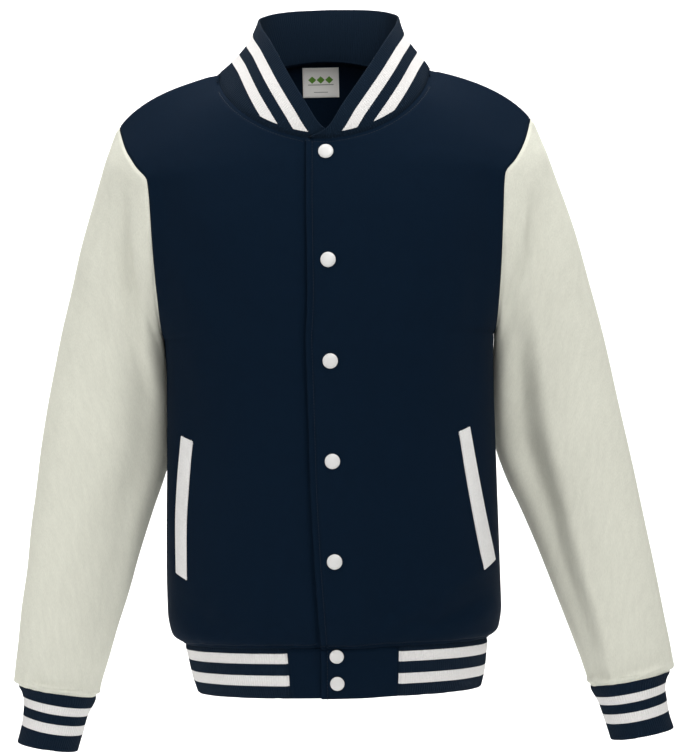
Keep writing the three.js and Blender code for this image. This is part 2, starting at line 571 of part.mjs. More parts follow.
function sleeveLines(side) {
  const last = SLEEVE_RINGS.length;
  const lines = armholeRing(side).map(({ point, degrees }) => {
    const rings = [point, ...SLEEVE_RINGS.map((ring) => ringPoint(ring, side, degrees))];
    const table = rings.map((p, i) => ({ at: i, x: p.x, y: p.y, z: p.z }));
    const line = [];
    for (let j = 0; j <= SLEEVE_ROWS; j += 1) {
      const along = j / SLEEVE_ROWS;
      const p = between(table, "at", along * last);
      line.push({ point: vec(p.x, p.y, p.z), along, degrees });
    }
    return line;
  });
  const plain = makeSheet(lines.map((line) => line.map((l) => l.point)), true);
  if (side < 0) plain.normals.forEach((line) => line.forEach((n) => n.negate()));
  lines.forEach((line, i) =>
    line.forEach(({ point, along, degrees }, j) => {
      let sink = 0;
      for (const f of SLEEVE_FOLDS) {
        const [q, q1, q2] = [degrees, f.round1, f.round2].map((d) => d / DEGREES_PER_LENGTH);
        sink += f.depth * nearFold(along, q, f, f.along1, q1, f.along2, q2);
      }
      const inner = ease(along / 0.1) * ease((1 - along) / 0.06);
      point.addScaledVector(plain.normals[i][j], -sink * inner);
    }),
  );
  return lines.map((line) => line.map((l) => l.point));
}

function cuffLines(side) {
  const around = armholeRing(side).map(({ degrees }) => degrees);
  return around.map((degrees) => CUFF_RINGS.map((ring) => ringPoint(ring, side, degrees)));
}

// Sleeves and cuffs are listed from the armhole down, so the sheet of one side has to be turned over.
function tube(lines, side) {
  const sheet = makeSheet(lines, true);
  return side > 0 ? sheet : turned(sheet);
}

// The neckline from the lower front's edge round the back to the upper front's edge.
function necklineWalk() {
  const walk = [];
  const turnOf = (degrees) => degrees / 90;
  for (const degrees of FRONT_ANGLES) {
    walk.push({ side: -1, rows: FRONT_ROWS, degrees, turn: turnOf(degrees) });
  }
  for (const degrees of [...NECK_ANGLES].reverse().slice(1)) {
    walk.push({ side: -1, rows: BACK_ROWS, degrees, turn: 2 - turnOf(degrees) });
  }
  for (const degrees of NECK_ANGLES.slice(1)) {
    walk.push({ side: 1, rows: BACK_ROWS, degrees, turn: 2 - turnOf(degrees) });
  }
  for (const degrees of [...FRONT_ANGLES].reverse().slice(1)) {
    walk.push({ side: 1, rows: FRONT_ROWS, degrees, turn: turnOf(degrees) });
  }
  return walk;
}

function collarLines() {
  const walk = necklineWalk();
  const lines = walk.map(({ side, rows, degrees, turn }) => {
    const place = neckPlace(rows, degrees);
    const base = body(rows, side * place.across, place.up);
    const edge = between(COLLAR_TOP, "turn", Math.max(turn, COLLAR_TOP[0].turn));
    const top = vec(side * edge.x, edge.y, edge.z);
    const out = vec(base.x + top.x, base.y + top.y - 20, 0).normalize();
    const lean = COLLAR_LEAN * ease((top.z + 60) / 120);
    const line = [];
    for (let j = 0; j <= COLLAR_ROWS; j += 1) {
      const w = j / COLLAR_ROWS;
      const p = base.clone().lerp(top, w);
      p.x += lean * w ** 0.45;
      line.push(p.addScaledVector(out, edge.bow * 4 * w * (1 - w)));
    }
    return line;
  });
  return { lines, bases: lines.map((line) => line[0].x), upper: walk.map((w) => w.side > 0 && w.turn < 0.7) };
}

// The point of a sheet's facets at a fractional place (a, b), with its normal.
function onFacets(sheet, a, b) {
  const i = THREE.MathUtils.clamp(Math.floor(a), 0, sheet.points.length - 2);
  const j = THREE.MathUtils.clamp(Math.floor(b), 0, sheet.points[0].length - 2);
  const [u, v] = [a - i, b - j];
  let shares;
  if (splitsUp(sheet.points, i, j)) {
    shares = u >= v
      ? [[i, j, 1 - u], [i + 1, j, u - v], [i + 1, j + 1, v]]
      : [[i, j, 1 - v], [i + 1, j + 1, u], [i, j + 1, v - u]];
  } else {
    shares = u + v <= 1
      ? [[i, j, 1 - u - v], [i + 1, j, u], [i, j + 1, v]]
      : [[i + 1, j + 1, u + v - 1], [i + 1, j, 1 - v], [i, j + 1, 1 - u]];
  }
  const [point, normal] = [vec(0, 0, 0), vec(0, 0, 0)];
  for (const [ci, cj, share] of shares) {
    point.addScaledVector(sheet.points[ci][cj], share);
    normal.addScaledVector(sheet.normals[ci][cj], share);
  }
  return { point, normal: normal.normalize() };
}

// The fractional place on a sheet that is seen at (x, z) from the front.
function findOnFacets(sheet, x, z) {
  let [a, b] = [(sheet.points.length - 1) / 2, (sheet.points[0].length - 1) / 2];
  for (let n = 0; n < 60; n += 1) {
    const here = onFacets(sheet, a, b).point;
    const alongA = onFacets(sheet, a + 0.2, b).point.sub(here).multiplyScalar(5);
    const alongB = onFacets(sheet, a, b + 0.2).point.sub(here).multiplyScalar(5);
    const [dx, dz] = [x - here.x, z - here.z];
    const area = alongA.x * alongB.z - alongB.x * alongA.z;
    a += THREE.MathUtils.clamp(0.7 * (dx * alongB.z - dz * alongB.x) / area, -2, 2);
    b += THREE.MathUtils.clamp(0.7 * (dz * alongA.x - dx * alongA.z) / area, -2, 2);
    a = THREE.MathUtils.clamp(a, 0, sheet.points.length - 1.3);
    b = THREE.MathUtils.clamp(b, 0, sheet.points[0].length - 1.3);
  }
  return { a, b };
}

// A welt follows the facets of its front, along its centre line and across its width.
function weltSheet(front, side, line) {
  const table = line.map((p, i) => ({ at: i, ...p }));
  const lines = [];
  for (let k = 0; k <= WELT_STEPS.across; k += 1) lines.push([]);
  const normals = lines.map(() => []);
  for (let n = 0; n <= WELT_STEPS.along; n += 1) {
    const middle = between(table, "at", ((line.length - 1) * (WELT_STEPS.along - n)) / WELT_STEPS.along);
    const { a, b } = findOnFacets(front, middle.x, middle.z);
    const here = onFacets(front, a, b).point;
    const reachA = onFacets(front, a + 0.5, b).point.distanceTo(onFacets(front, a - 0.5, b).point);
    const riseB = onFacets(front, a, b + 0.5).point.z - here.z;
    for (let k = 0; k <= WELT_STEPS.across; k += 1) {
      const off = WELT_WIDTH * (k / WELT_STEPS.across - 0.5);
      const place = onFacets(front, a + off / reachA, b + (side * WELT_SLOPE * off * 0.5) / riseB);
      lines[k].push(place.point);
      normals[k].push(place.normal);
    }
  }
  return { points: lines, normals, closed: false };
}

// A domed snap cap that rests on the highest cloth under it, on the upper front or on its tab.
function snapCap({ z, radius }) {
  const sheet = z < HEM_SEAM_Z ? upperTab : upperFront;
  const { a, b } = findOnFacets(sheet, 0.5, z);
  const { point, normal } = onFacets(sheet, a, b);
  let seat = 0;
  for (let k = 0; k < 16; k += 1) {
    const [dx, dz] = [Math.cos((k * Math.PI) / 8), Math.sin((k * Math.PI) / 8)];
    const rim = findOnFacets(sheet, point.x + radius * dx, point.z + radius * dz);
    seat = Math.max(seat, onFacets(sheet, rim.a, rim.b).point.sub(point).dot(normal));
  }
  const profile = SNAP_PROFILE.map(
    ({ r, h }) => new THREE.Vector2(r * radius, seat + SEAT + h * SNAP_HEIGHT),
  );
  const turn = new THREE.Quaternion().setFromUnitVectors(vec(0, 1, 0), normal);
  return new THREE.LatheGeometry(profile, 20).applyQuaternion(turn).translate(...point.toArray());
}

// The neck label lies inside the back, below the tape.
function labelSheet() {
  const lines = [];
  const normals = [];
  for (let i = 0; i <= 6; i += 1) {
    const x = LABEL_X + LABEL_WIDTH * (i / 6 - 0.5);
    const topZ = backNeckZ(x) - LABEL_BELOW;
    const top = findOnFacets(back, x, topZ);
    const bottom = findOnFacets(back, x, topZ - LABEL_DROP * 0.93);
    const places = Array.from({ length: 7 }, (_, j) =>
      onFacets(back, mix(bottom.a, top.a, j / 6), mix(bottom.b, top.b, j / 6)),
    );
    lines.push(places.map((p) => p.point));
    normals.push(places.map((p) => p.normal));
  }
  return { points: lines.reverse(), normals: normals.reverse(), closed: false };
}

// The tape covers the neck seam inside the back, from near one shoulder seam to near the other.
function tapeSheet() {
  const top = back.points[0].length - 1;
  const first = SHOULDER_STEPS + 2;
  const lines = [];
  const normals = [];
  for (let i = first; i < back.points.length - first; i += 1) {
    const end = back.points[i][top];
    const down = back.points[i][top - 1].clone().sub(end);
    const run = back.points[i + 1][top].clone().sub(back.points[i - 1][top]);
    const across = down.clone().cross(run).length() / run.length();
    const places = [TAPE_EDGES.lower, (TAPE_EDGES.lower + TAPE_EDGES.upper) / 2, TAPE_EDGES.upper].map(
      (drop) => onFacets(back, i, top - drop / across),
    );
    lines.push(places.map((p) => p.point));
    normals.push(places.map((p) => p.normal));
  }
  return { points: lines, normals, closed: false };
}

// The height of the back neckline at x.
function backNeckZ(x) {
  const tops = back.points.map((line) => line[line.length - 1]);
  let nearest = tops[0];
  for (const p of tops) if (Math.abs(p.x - x) < Math.abs(nearest.x - x)) nearest = p;
  return nearest.z;
}

// The fleece panels
const lowerFront = turned(makeSheet(frontLines(-1, TAB_END.lower)));
const upperFront = makeSheet(frontLines(1, TAB_END.upper));
const back = turned(makeSheet(backLines()));

// The hem: a plain tab below each front, and one rib band from tab to tab round the back
const frontCount = FRONT_ANGLES.length + SHOULDER_STEPS - 1;
const backCount = NECK_ANGLES.length + SHOULDER_STEPS - 1;
const tabSteps = frontCount - SIDE_STEPS;
const lowerHem = hemPlaces(FRONT_ROWS, 0, FRONT_EDGE, TAB_END.lower, frontCount);
const upperHem = hemPlaces(FRONT_ROWS, 0, FRONT_EDGE, TAB_END.upper, frontCount);
const backHem = Array.from({ length: backCount + 1 }, (_, i) => i / backCount);
const lowerTab = turned(makeSheet(hemBand(HEM_FRONT, -1, lowerHem.slice(0, tabSteps + 1))));
const upperTab = makeSheet(hemBand(HEM_FRONT, 1, upperHem.slice(0, tabSteps + 1)));
const hemRib = makeSheet([
  ...hemBand(HEM_FRONT, 1, upperHem.slice(tabSteps)),
  ...hemBand(HEM_BACK, 1, backHem).reverse().slice(1),
  ...hemBand(HEM_BACK, -1, backHem).slice(1),
  ...hemBand(HEM_FRONT, -1, lowerHem.slice(tabSteps)).reverse().slice(1),
]);

// The collar, the sleeves and the cuffs
const collarWalk = collarLines();
const collar = makeSheet([...collarWalk.lines].reverse());
collar.bases = [...collarWalk.bases].reverse();
const upperEnd = [...collarWalk.upper].reverse();
const SIDES = [["right", -1], ["left", 1]];
const sleeves = SIDES.map(([, side]) => tube(sleeveLines(side), side));
const cuffs = SIDES.map(([, side]) => tube(cuffLines(side), side));

sew([lowerFront, upperFront, back, lowerTab, upperTab, hemRib, collar, ...sleeves, ...cuffs]);
raise(upperFront);
raise(upperTab);
raise(hemRib, (i) => hemRib.points[i][0].x > 0);
raise(collar, (i) => upperEnd[i]);

add("front_right", wall(lowerFront, CLOTH), materials.navy);
add("front_left", wall(upperFront, CLOTH), materials.navy);
add("back", wall(back, CLOTH), materials.navy);
add("hem_tab_right", wall(lowerTab, CLOTH), materials.navy);
add("hem_tab_left", wall(upperTab, CLOTH), materials.navy);
add("hem_rib", wall(hemRib, RIB), materials.rib);
add("collar_rib", wall(collar, RIB), materials.rib);
SIDES.forEach(([name, side], i) => {
  const front = side > 0 ? upperFront : lowerFront;
  add("sleeve_" + name, wall(sleeves[i], CLOTH), materials.cream);
  add("cuff_" + name, wall(cuffs[i], RIB), materials.rib);
  add("welt_" + name, wall(weltSheet(front, side, WELTS[name]), WELT, SEAT + WELT), materials.white);
});
SNAPS.forEach((snap, i) => add("snap_" + (i + 1), snapCap(snap), materials.plastic));
add("neck_tape", wall(tapeSheet(), TAPE, -CLOTH - SEAT), materials.navy);
add("neck_label", wall(labelSheet(), LABEL, -CLOTH - SEAT), materials.label);

export default jacket;
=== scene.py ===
import math

import bpy
import numpy as np
from bpy.props import FloatProperty, FloatVectorProperty, PointerProperty
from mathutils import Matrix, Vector
from mathutils.bvhtree import BVHTree
from mathutils.kdtree import KDTree


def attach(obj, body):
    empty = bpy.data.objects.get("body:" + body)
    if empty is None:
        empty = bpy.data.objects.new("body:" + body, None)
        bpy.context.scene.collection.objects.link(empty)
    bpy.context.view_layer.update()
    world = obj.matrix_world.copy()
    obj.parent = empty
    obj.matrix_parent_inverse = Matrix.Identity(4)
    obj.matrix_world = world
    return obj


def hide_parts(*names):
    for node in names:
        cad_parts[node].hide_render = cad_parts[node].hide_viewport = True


bl_info = {
    "name": "Varsity Jacket",
    "version": (1, 0, 0),
    "blender": (4, 5, 0),
    "location": "View3D > Sidebar > Jacket",
    "description": "Sews a hollow varsity jacket in fleece with striped rib bands, snaps and pocket welts",
    "category": "Object",
}

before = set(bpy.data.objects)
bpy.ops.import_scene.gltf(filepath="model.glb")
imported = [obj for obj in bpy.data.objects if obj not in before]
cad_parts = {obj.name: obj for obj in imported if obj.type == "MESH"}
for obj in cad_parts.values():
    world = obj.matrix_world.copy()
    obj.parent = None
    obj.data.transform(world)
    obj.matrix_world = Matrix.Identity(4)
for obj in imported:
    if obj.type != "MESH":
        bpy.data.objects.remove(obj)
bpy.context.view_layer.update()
pattern = {}  # every cut piece of cloth by its name, sewn to its neighbours
MM = 0.001
NARROWEST_CUT = 0.01  # the tape is cut wider than it shows, as its edges are turned in
SEWN = "_sewn"  # ends the name of every piece, which otherwise is that of the CAD node that it stands for


def linear(colour):
    """An sRGB hex value as linear red, green, blue and alpha."""
    parts = [int(colour[k : k + 2], 16) / 255 for k in (1, 3, 5)]
    return [p / 12.92 if p <= 0.04045 else ((p + 0.055) / 1.055) ** 2.4 for p in parts] + [1.0]


# The tables below are in millimetres. +X is the wearer's left, +Y the back and +Z up.
FRONT_EDGE = 20  # from the line of snaps to the edge of a front
TAB_END = {1: 66, -1: 55}  # where the plain hem tabs meet the rib, on the wearer's left and right
LIFT = 3.1  # how far the upper front stands over the lower one
NECK_HALF = 117
NECK_FRONT_Z = -75
NECK_BACK_Y = 66
NECK_SQUARE = {"front": 1.8, "back": 2.0}
COLLAR_LEAN = 6.5
SLEEVE_SWING = 6.5
OUTER_SWING = 1.5
UNDERARM = 331
SHOULDER = 602
HEM_HEIGHT = 52

# One row for each level: up, then the middle (cy, cz), its handle (reach), the side (sx, sy, sz) and
# the side's handle (hx, hy, hz)
FRONT_ROWS = np.array([
    (0, -110, -617, 98, 167, 8, -619, 0, -64, 0),
    (12, -117, -607, 105, 180, 8, -607, 0, -70, 0),
    (36, -122, -582, 110, 184, 8, -582, 0, -74, 0),
    (118, -122, -500, 110, 183, 8, -500, 0, -74, 0),
    (218, -121, -400, 110, 181, 8, -400, 0, -74, 0),
    (288, -122, -330, 113, 180, 8, -330, 0, -84, 0),
    (331, -123, -287, 116, 181.5, 8, -287, 0, -94, 0),
    (349, -123, -270, 110, 182.5, -11, -281, -8, -81, 0),
    (368, -123, -254, 105, 184.5, -28, -266, -17, -69, 0),
    (396, -122, -230, 102, 187, -44, -240, -26, -56, 1),
    (430, -120, -198, 102, 189, -55, -205, -33, -46, 2),
    (476, -114, -150, 103, 191, -62, -160, -44, -36, 4),
    (522, -103, -102, 100, 194, -60, -114, -54, -26, 8),
    (548, -84, -57, 95, 207, -47, -96, -57, -20, 18),
    (574, -48, -8, 88, 219, -26, -75, -54, -10, 32),
    (602, 0, 20, 72, 228, 2, -49, -42, 0, 55),
], float)
BACK_ROWS = np.array([
    (0, 106, -617, 98, 167, 8, -619, 0, 46, 0),
    (12, 113, -607, 105, 180, 8, -607, 0, 46, 0),
    (36, 118, -582, 106, 184, 8, -582, 0, 44, 0),
    (118, 116, -500, 104, 183, 8, -500, 0, 36, 0),
    (218, 112, -400, 102, 181, 8, -400, 0, 30, 0),
    (288, 114, -330, 106, 180, 8, -330, 0, 46, 0),
    (331, 117, -287, 112, 181.5, 8, -287, 0, 66, 0),
    (349, 118, -270, 108, 182.5, 26, -280, -7, 60, 0),
    (368, 120, -254, 104, 184.5, 42, -265, -16, 53, 0),
    (396, 122, -229, 102, 187, 58, -239, -26, 44, 1),
    (430, 124, -195, 102, 190, 71, -205, -36, 36, 2),
    (476, 124, -145, 103, 193, 77, -160, -47, 30, 4),
    (522, 119, -92, 102, 197, 70, -116, -56, 26, 8),
    (548, 104, -32, 96, 208, 52, -96, -58, 22, 18),
    (574, 66, 27, 88, 219, 28, -75, -54, 13, 32),
    (602, 0, 20, 72, 228, 2, -49, -42, 0, 55),
], float)
HEM_FRONT = np.array([
    (0, -103, -670.5, 92, 156, 8, -672, 0, -60, 0),
    (17, -107, -653, 95, 161, 8, -654, 0, -62, 0),
    (38, -108, -632, 96, 164.5, 8, -633, 0, -63, 0),
    (52, -110, -617, 98, 167, 8, -619, 0, -64, 0),
], float)
HEM_BACK = np.array([
    (0, 99, -670.5, 92, 156, 8, -672, 0, 44, 0),
    (17, 103, -653, 95, 161, 8, -654, 0, 45, 0),
    (38, 104, -632, 96, 164.5, 8, -633, 0, 45, 0),
    (52, 106, -617, 98, 167, 8, -619, 0, 46, 0),
], float)
# Rings of a sleeve and a cuff: the outer point (ox, oz), the inner point (ix, iz), the middle's y and half depth
SLEEVE_RINGS = np.array([
    (241, -77, 181, -301, 17, 65),
    (254.5, -115, 179.4, -319, 27, 65),
    (275, -178, 178.7, -346, 32, 63),
    (291, -240, 178.6, -378, 36, 60),
    (306.5, -306, 180.5, -408, 36, 58),
    (319.5, -372, 188.5, -438, 30, 55),
    (331.5, -440, 205, -482, 25, 52),
    (342.5, -516, 225, -541, 15, 49),
    (353, -588, 248.5, -609, 4, 46),
    (360, -634, 262.5, -652, -3, 43),
    (361.5, -651, 267, -668, -5, 41),
    (359, -659, 270, -674, -6, 38),
], float)
CUFF_RINGS = np.array([
    (359, -659, 270, -674, -6, 38),
    (354, -667, 273.5, -681, -6, 35),
    (352, -680, 280, -693, -7, 33),
    (354, -698, 285.5, -711, -8, 32),
    (360, -721, 292.5, -733, -9, 31),
], float)
# The collar's folded top edge: turn (0 centre front, 1 side, 2 centre back), x, y, z and the band's bow
COLLAR_TOP = np.array([
    (-0.16, -18, -94, -71.5, 0),
    (0, 0, -96, -64, 0),
    (0.3, 21.5, -90, -33, 1.5),
    (0.57, 42, -72, 0, 1.5),
    (0.82, 63, -42, 37, 0),
    (1, 74.5, -8, 57, -2.5),
    (1.22, 78, 24, 69, -3.5),
    (1.48, 67.5, 52, 77.5, -3),
    (1.74, 38, 69, 83, -2.5),
    (2, 0, 74, 84.5, -2),
], float)
# How far the body and its front edge have swung to the wearer's left: z, all, edge
SWAY = np.array([
    (-671, 2.4, 0),
    (-632, 1, 3),
    (-600, -1, 7),
    (-530, -1.5, 4),
    (-430, -1, 0),
    (-300, -0.3, -1),
    (-75, 0, 0),
], float)
SWAY_WIDTH = 60
# Folds of the body: face (-1 front, 1 back), x1, z1, x2, z2, width and depth of a soft trough along a line
BODY_FOLDS = [
    (-1, -183, -135, -104, -262, 24, 4.5),
    (-1, 184, -132, 118, -275, 24, 4),
    (-1, -150, -330, -128, -470, 28, 3),
    (-1, 172, -560, 92, -606, 15, 3.5),
    (-1, 60, -520, 46, -600, 18, 2.5),
    (-1, -166, -570, -120, -602, 13, 3),
    (-1, -42, -548, -70, -604, 16, 2),
    (1, -178, -150, -80, -300, 26, 4.5),
    (1, 178, -145, 92, -285, 26, 4.5),
    (1, -120, -420, -60, -585, 26, 3.5),
    (1, 130, -440, 82, -590, 24, 3.5),
    (1, -20, -470, 10, -600, 22, 2.5),
    # Finer ones that only the dressed jacket has
    (-1, 128, -586, 168, -574, 8, 3),
    (-1, 62, -600, 104, -582, 7, 2.6),
    (-1, 40, -590, 78, -568, 8, 1.8),
    (-1, 120, -560, 160, -540, 10, -1.8),
    (-1, -100, -602, -58, -590, 8, 2.4),
    (-1, -140, -600, -100, -578, 9, 2.2),
    (-1, -150, -596, -132, -560, 9, 2),
    (-1, 24, -596, 44, -560, 9, 1.8),
    (-1, 92, -604, 120, -588, 6, 2),
    (-1, 150, -300, 120, -430, 22, 2.4),
    (-1, -172, -230, -130, -310, 16, 2.4),
    (-1, -176, -200, -150, -400, 12, 2),
    (-1, 176, -215, 136, -300, 16, 2.8),
    (-1, 170, -190, 152, -340, 12, 2.2),
    (1, -150, -560, -100, -600, 14, 2.2),
    (1, 60, -540, 40, -602, 14, 1.8),
    (1, 150, -250, 100, -380, 20, 1.8),
    (1, -150, -260, -105, -390, 20, 1.8),
]
# Folds of a sleeve: along1, round1, along2, round2, width and depth. Along is 0 at the armhole and 1 at the
# cuff seam, round is 0 degrees at the outside, 90 at the front, 180 inside and 270 at the back.
SLEEVE_FOLDS = [
    (0.04, 48, 0.34, 108, 0.11, 6),
    (0.06, 84, 0.3, 140, 0.07, -3),
    (0.5, 132, 0.72, 96, 0.09, 6),
    (0.62, 160, 0.78, 122, 0.08, 4),
    (0.06, 318, 0.36, 256, 0.12, 5),
    (0.5, 292, 0.66, 236, 0.1, 5),
    (0.66, 220, 0.8, 262, 0.08, 4),
    (0.87, 44, 0.9, 96, 0.06, 4),
    (0.91, 120, 0.88, 166, 0.06, 4),
    (0.9, 230, 0.87, 290, 0.07, 4),
]
# Finer ones that only the dressed jacket has, on the wearer's right and left sleeve
SLEEVE_CREASES = {
    -1: [
        (0.06, 58, 0.3, 124, 0.04, 5),
        (0.1, 40, 0.34, 92, 0.03, -1.6),
        (0.36, 122, 0.66, 136, 0.06, 4.5),
        (0.2, 60, 0.5, 84, 0.05, 1.6),
        (0.925, 30, 0.95, 74, 0.022, 2.4),
        (0.945, 84, 0.925, 128, 0.02, 2.2),
        (0.9, 56, 0.885, 112, 0.02, 1.6),
        (0.95, 140, 0.965, 172, 0.02, 1.6),
        (0.94, 210, 0.955, 250, 0.022, 2),
        (0.95, 280, 0.93, 330, 0.022, 2),
        (0.76, 70, 0.84, 110, 0.04, 1.8),
    ],
    1: [
        (0.12, 116, 0.34, 126, 0.07, 6),
        (0.3, 122, 0.56, 132, 0.07, 7),
        (0.5, 130, 0.84, 144, 0.07, 8),
        (0.62, 160, 0.86, 168, 0.1, 4),
        (0.2, 92, 0.5, 104, 0.035, -2.5),
        (0.5, 104, 0.8, 118, 0.035, -2.5),
        (0.02, 66, 0.28, 84, 0.03, 1.8),
        (0.93, 36, 0.955, 70, 0.022, 2.2),
        (0.945, 84, 0.93, 128, 0.02, 2.2),
        (0.89, 80, 0.9, 120, 0.02, 1.8),
        (0.95, 140, 0.965, 172, 0.02, 1.6),
        (0.94, 210, 0.955, 250, 0.022, 2),
        (0.95, 280, 0.93, 330, 0.022, 2),
        (0.8, 60, 0.86, 104, 0.04, 1.8),
    ],
}
DEGREES_PER_LENGTH = 260
SNAPS = [(-89, 8.1), (-205, 8.1), (-312, 8.1), (-418, 8.1), (-524, 8.1), (-625, 7.6), (-654, 7.6)]  # z, radius
SNAP_PROFILE = [(0, 0), (0.94, 0), (1, 0.25), (0.985, 0.4), (0.93, 0.56), (0.8, 0.74), (0.62, 0.87), (0.4, 0.96), (0.2, 0.99), (0, 1)]
WELTS = {  # the middle line of each welt: step, x, z and its share of the full width
    -1: [(0, -156, -392, 0.88), (1, -161.5, -440, 1), (2, -165, -490, 1.05), (3, -165.5, -541, 1)],
    1: [(0, 142.5, -388, 0.76), (1, 150.5, -440, 0.92), (2, 160, -494, 1.1), (3, 168.5, -536, 1.35)],
}
WELT_WIDTH = 21
WELT_SLOPE = 0.32
LABEL = {"x": -4, "width": 41, "drop": 31.6, "below": 7}
TAPE = (0.6, 7.6)  # from the neckline down to its upper and lower edge
TAPE_ENDS = 5  # columns of the back that it leaves free before each shoulder seam

# The CAD's own coarse steps, which place the columns
NECK_ANGLES = np.array([0, 13, 26, 38, 49, 59, 68, 76, 83, 90], float)
SHOULDER_STEPS = 7
SIDE_STEPS = 9
EDGE_ANGLE = math.degrees(math.asin((FRONT_EDGE / NECK_HALF) ** (NECK_SQUARE["front"] / 2)))
FRONT_ANGLES = np.array([-EDGE_ANGLE, -EDGE_ANGLE / 2, *NECK_ANGLES])
# Closer places beside a border, where the cloth rolls, folds or is stitched down
BESIDE_SEAM = (0.7, 1.5, 2.4, 3.4, 4.2, 4.9, 5.6, 6.3, 7, 7.7, 8.6, 9.8)
BESIDE_FOLD = (0.15, 0.5, 1.1, 2.2, 3.6, 5, 5.8, 6.5, 7.2, 8, 9.4)
LAP_REACH = 5  # how far beside the upper front's edge the lower front falls back
STITCH_REACH = 1.7  # how far beside a row of stitches the cloth is drawn in
RIB_SEAM = (0.8, 1.7, 2.8)
RIB_FOLD = (0.12, 0.45, 0.9, 1.4, 2.4)
PANEL_STEP = 3.3
RIB_STEPS = 5  # columns for one rib of the knit
STRIPES = {  # widths of navy and white in turn, from the seam or, on the collar, from the folded edge
    "hem": (5, 11, 12.5, 11.5, 14),
    "cuff": (13.4, 9.6, 10.7, 10.7, 20),
    "collar": (15, 11.5, 12, 11.5, 60),
}
PLAIN_BELOW = {"collar": 6.5}  # from the neck seam up to the cut ends of the stripes
STRIPE_END_Z = -56  # the collar's folded edge below this turns away from its stripes, which run on straight
SIDES = (("right", -1), ("left", 1))


def ease(t):
    t = np.clip(t, 0, 1)
    return t * t * (3 - 2 * t)


def unit(v):
    return v / np.maximum(np.linalg.norm(v, axis=-1, keepdims=True), 1e-9)


def between(table, t):
    """The values of a table at the places t in its first column, on smooth curves that never overshoot its rows."""
    t = np.asarray(t, float)
    keys, spans, rises = table[:, 0], np.diff(table[:, 0]), np.diff(table[:, 1:], axis=0)
    slopes = rises / spans[:, None]
    alike = slopes[:-1] * slopes[1:] > 0
    total = np.where(alike, slopes[:-1] + slopes[1:], 1)
    steady = np.where(alike, 2 * slopes[:-1] * slopes[1:] / total, 0)
    at_rows = np.vstack([slopes[:1], steady, slopes[-1:]])
    k = np.clip(np.searchsorted(keys, t, side="left") - 1, 0, len(keys) - 2)
    s = ((t - keys[k]) / spans[k])[..., None]
    leaving = at_rows[k] * spans[k][..., None]
    arriving = at_rows[k + 1] * spans[k][..., None]
    bend = 3 * rises[k] - 2 * leaving - arriving
    return table[k, 1:] + s * (leaving + s * (bend + s * (leaving + arriving - 2 * rises[k])))


def near_fold(p, q, fold):
    """How close the places (p, q) lie to the line of a fold, from 0 to 1."""
    p1, q1, p2, q2, width = fold[:5]
    dp, dq = p2 - p1, q2 - q1
    t = np.clip(((p - p1) * dp + (q - q1) * dq) / (dp * dp + dq * dq), 0, 1)
    away = np.hypot(p - p1 - t * dp, q - q1 - t * dq) / width
    return np.exp(-away * away) * (0.35 + 0.65 * np.sin(np.pi * (0.15 + 0.7 * t)))


def plain_body(rows, across, up):
    """The plain outside of the body: across is 0 on the centre line and 1 or -1 on a side seam or armhole."""
    across, up = np.broadcast_arrays(np.asarray(across, float), np.asarray(up, float))
    cy, cz, reach, sx, sy, sz, hx, hy, hz = np.moveaxis(between(rows, up), -1, 0)
    t = np.abs(across)
    w0, w1, w2, w3 = (1 - t) ** 3, 3 * t * (1 - t) ** 2, 3 * t * t * (1 - t), t**3
    x = w1 * reach + w2 * (sx + hx) + w3 * sx
    y = (w0 + w1) * cy + w2 * (sy + hy) + w3 * sy
    z = (w0 + w1) * cz + w2 * (sz + hz) + w3 * sz
    return np.stack([np.sign(across) * x, y, z], -1)


def sway(p):
    """How far points of the body have swung to the wearer's left."""
    swing = between(SWAY, np.clip(p[..., 2], SWAY[0, 0], SWAY[-1, 0]))
    near = np.exp(-((p[..., 0] / SWAY_WIDTH) ** 2))
    return swing[..., 0] + np.where(p[..., 1] < 0, swing[..., 1] * near, 0)


def body(rows, across, up):
    """The outside of the body with its sway and its folds."""
    p = plain_body(rows, across, up)
    up = np.broadcast_to(up, p.shape[:-1])
    face = np.sign(rows[0, 1])
    sink = sum(f[6] * near_fold(p[..., 0], p[..., 2], f[1:6]) for f in BODY_FOLDS if f[0] == face)
    held = ease(up / 30) * ease((SHOULDER - up) / 60) * ease((1 - np.abs(across)) / 0.12)
    inward = unit(p * (-0.5, -1, 0))
    swung = p + np.stack([sway(p), np.zeros(p.shape[:-1]), np.zeros(p.shape[:-1])], -1)
    return swung + inward * (sink * held)[..., None]


def find_across(rows, x, up):
    """The place across the body where its plain outside reaches x."""
    low, high = np.zeros(np.broadcast(x, up).shape), np.ones(np.broadcast(x, up).shape)
    for _ in range(32):
        middle = (low + high) / 2
        short = plain_body(rows, middle, up)[..., 0] < x
        low, high = np.where(short, middle, low), np.where(short, high, middle)
    return low


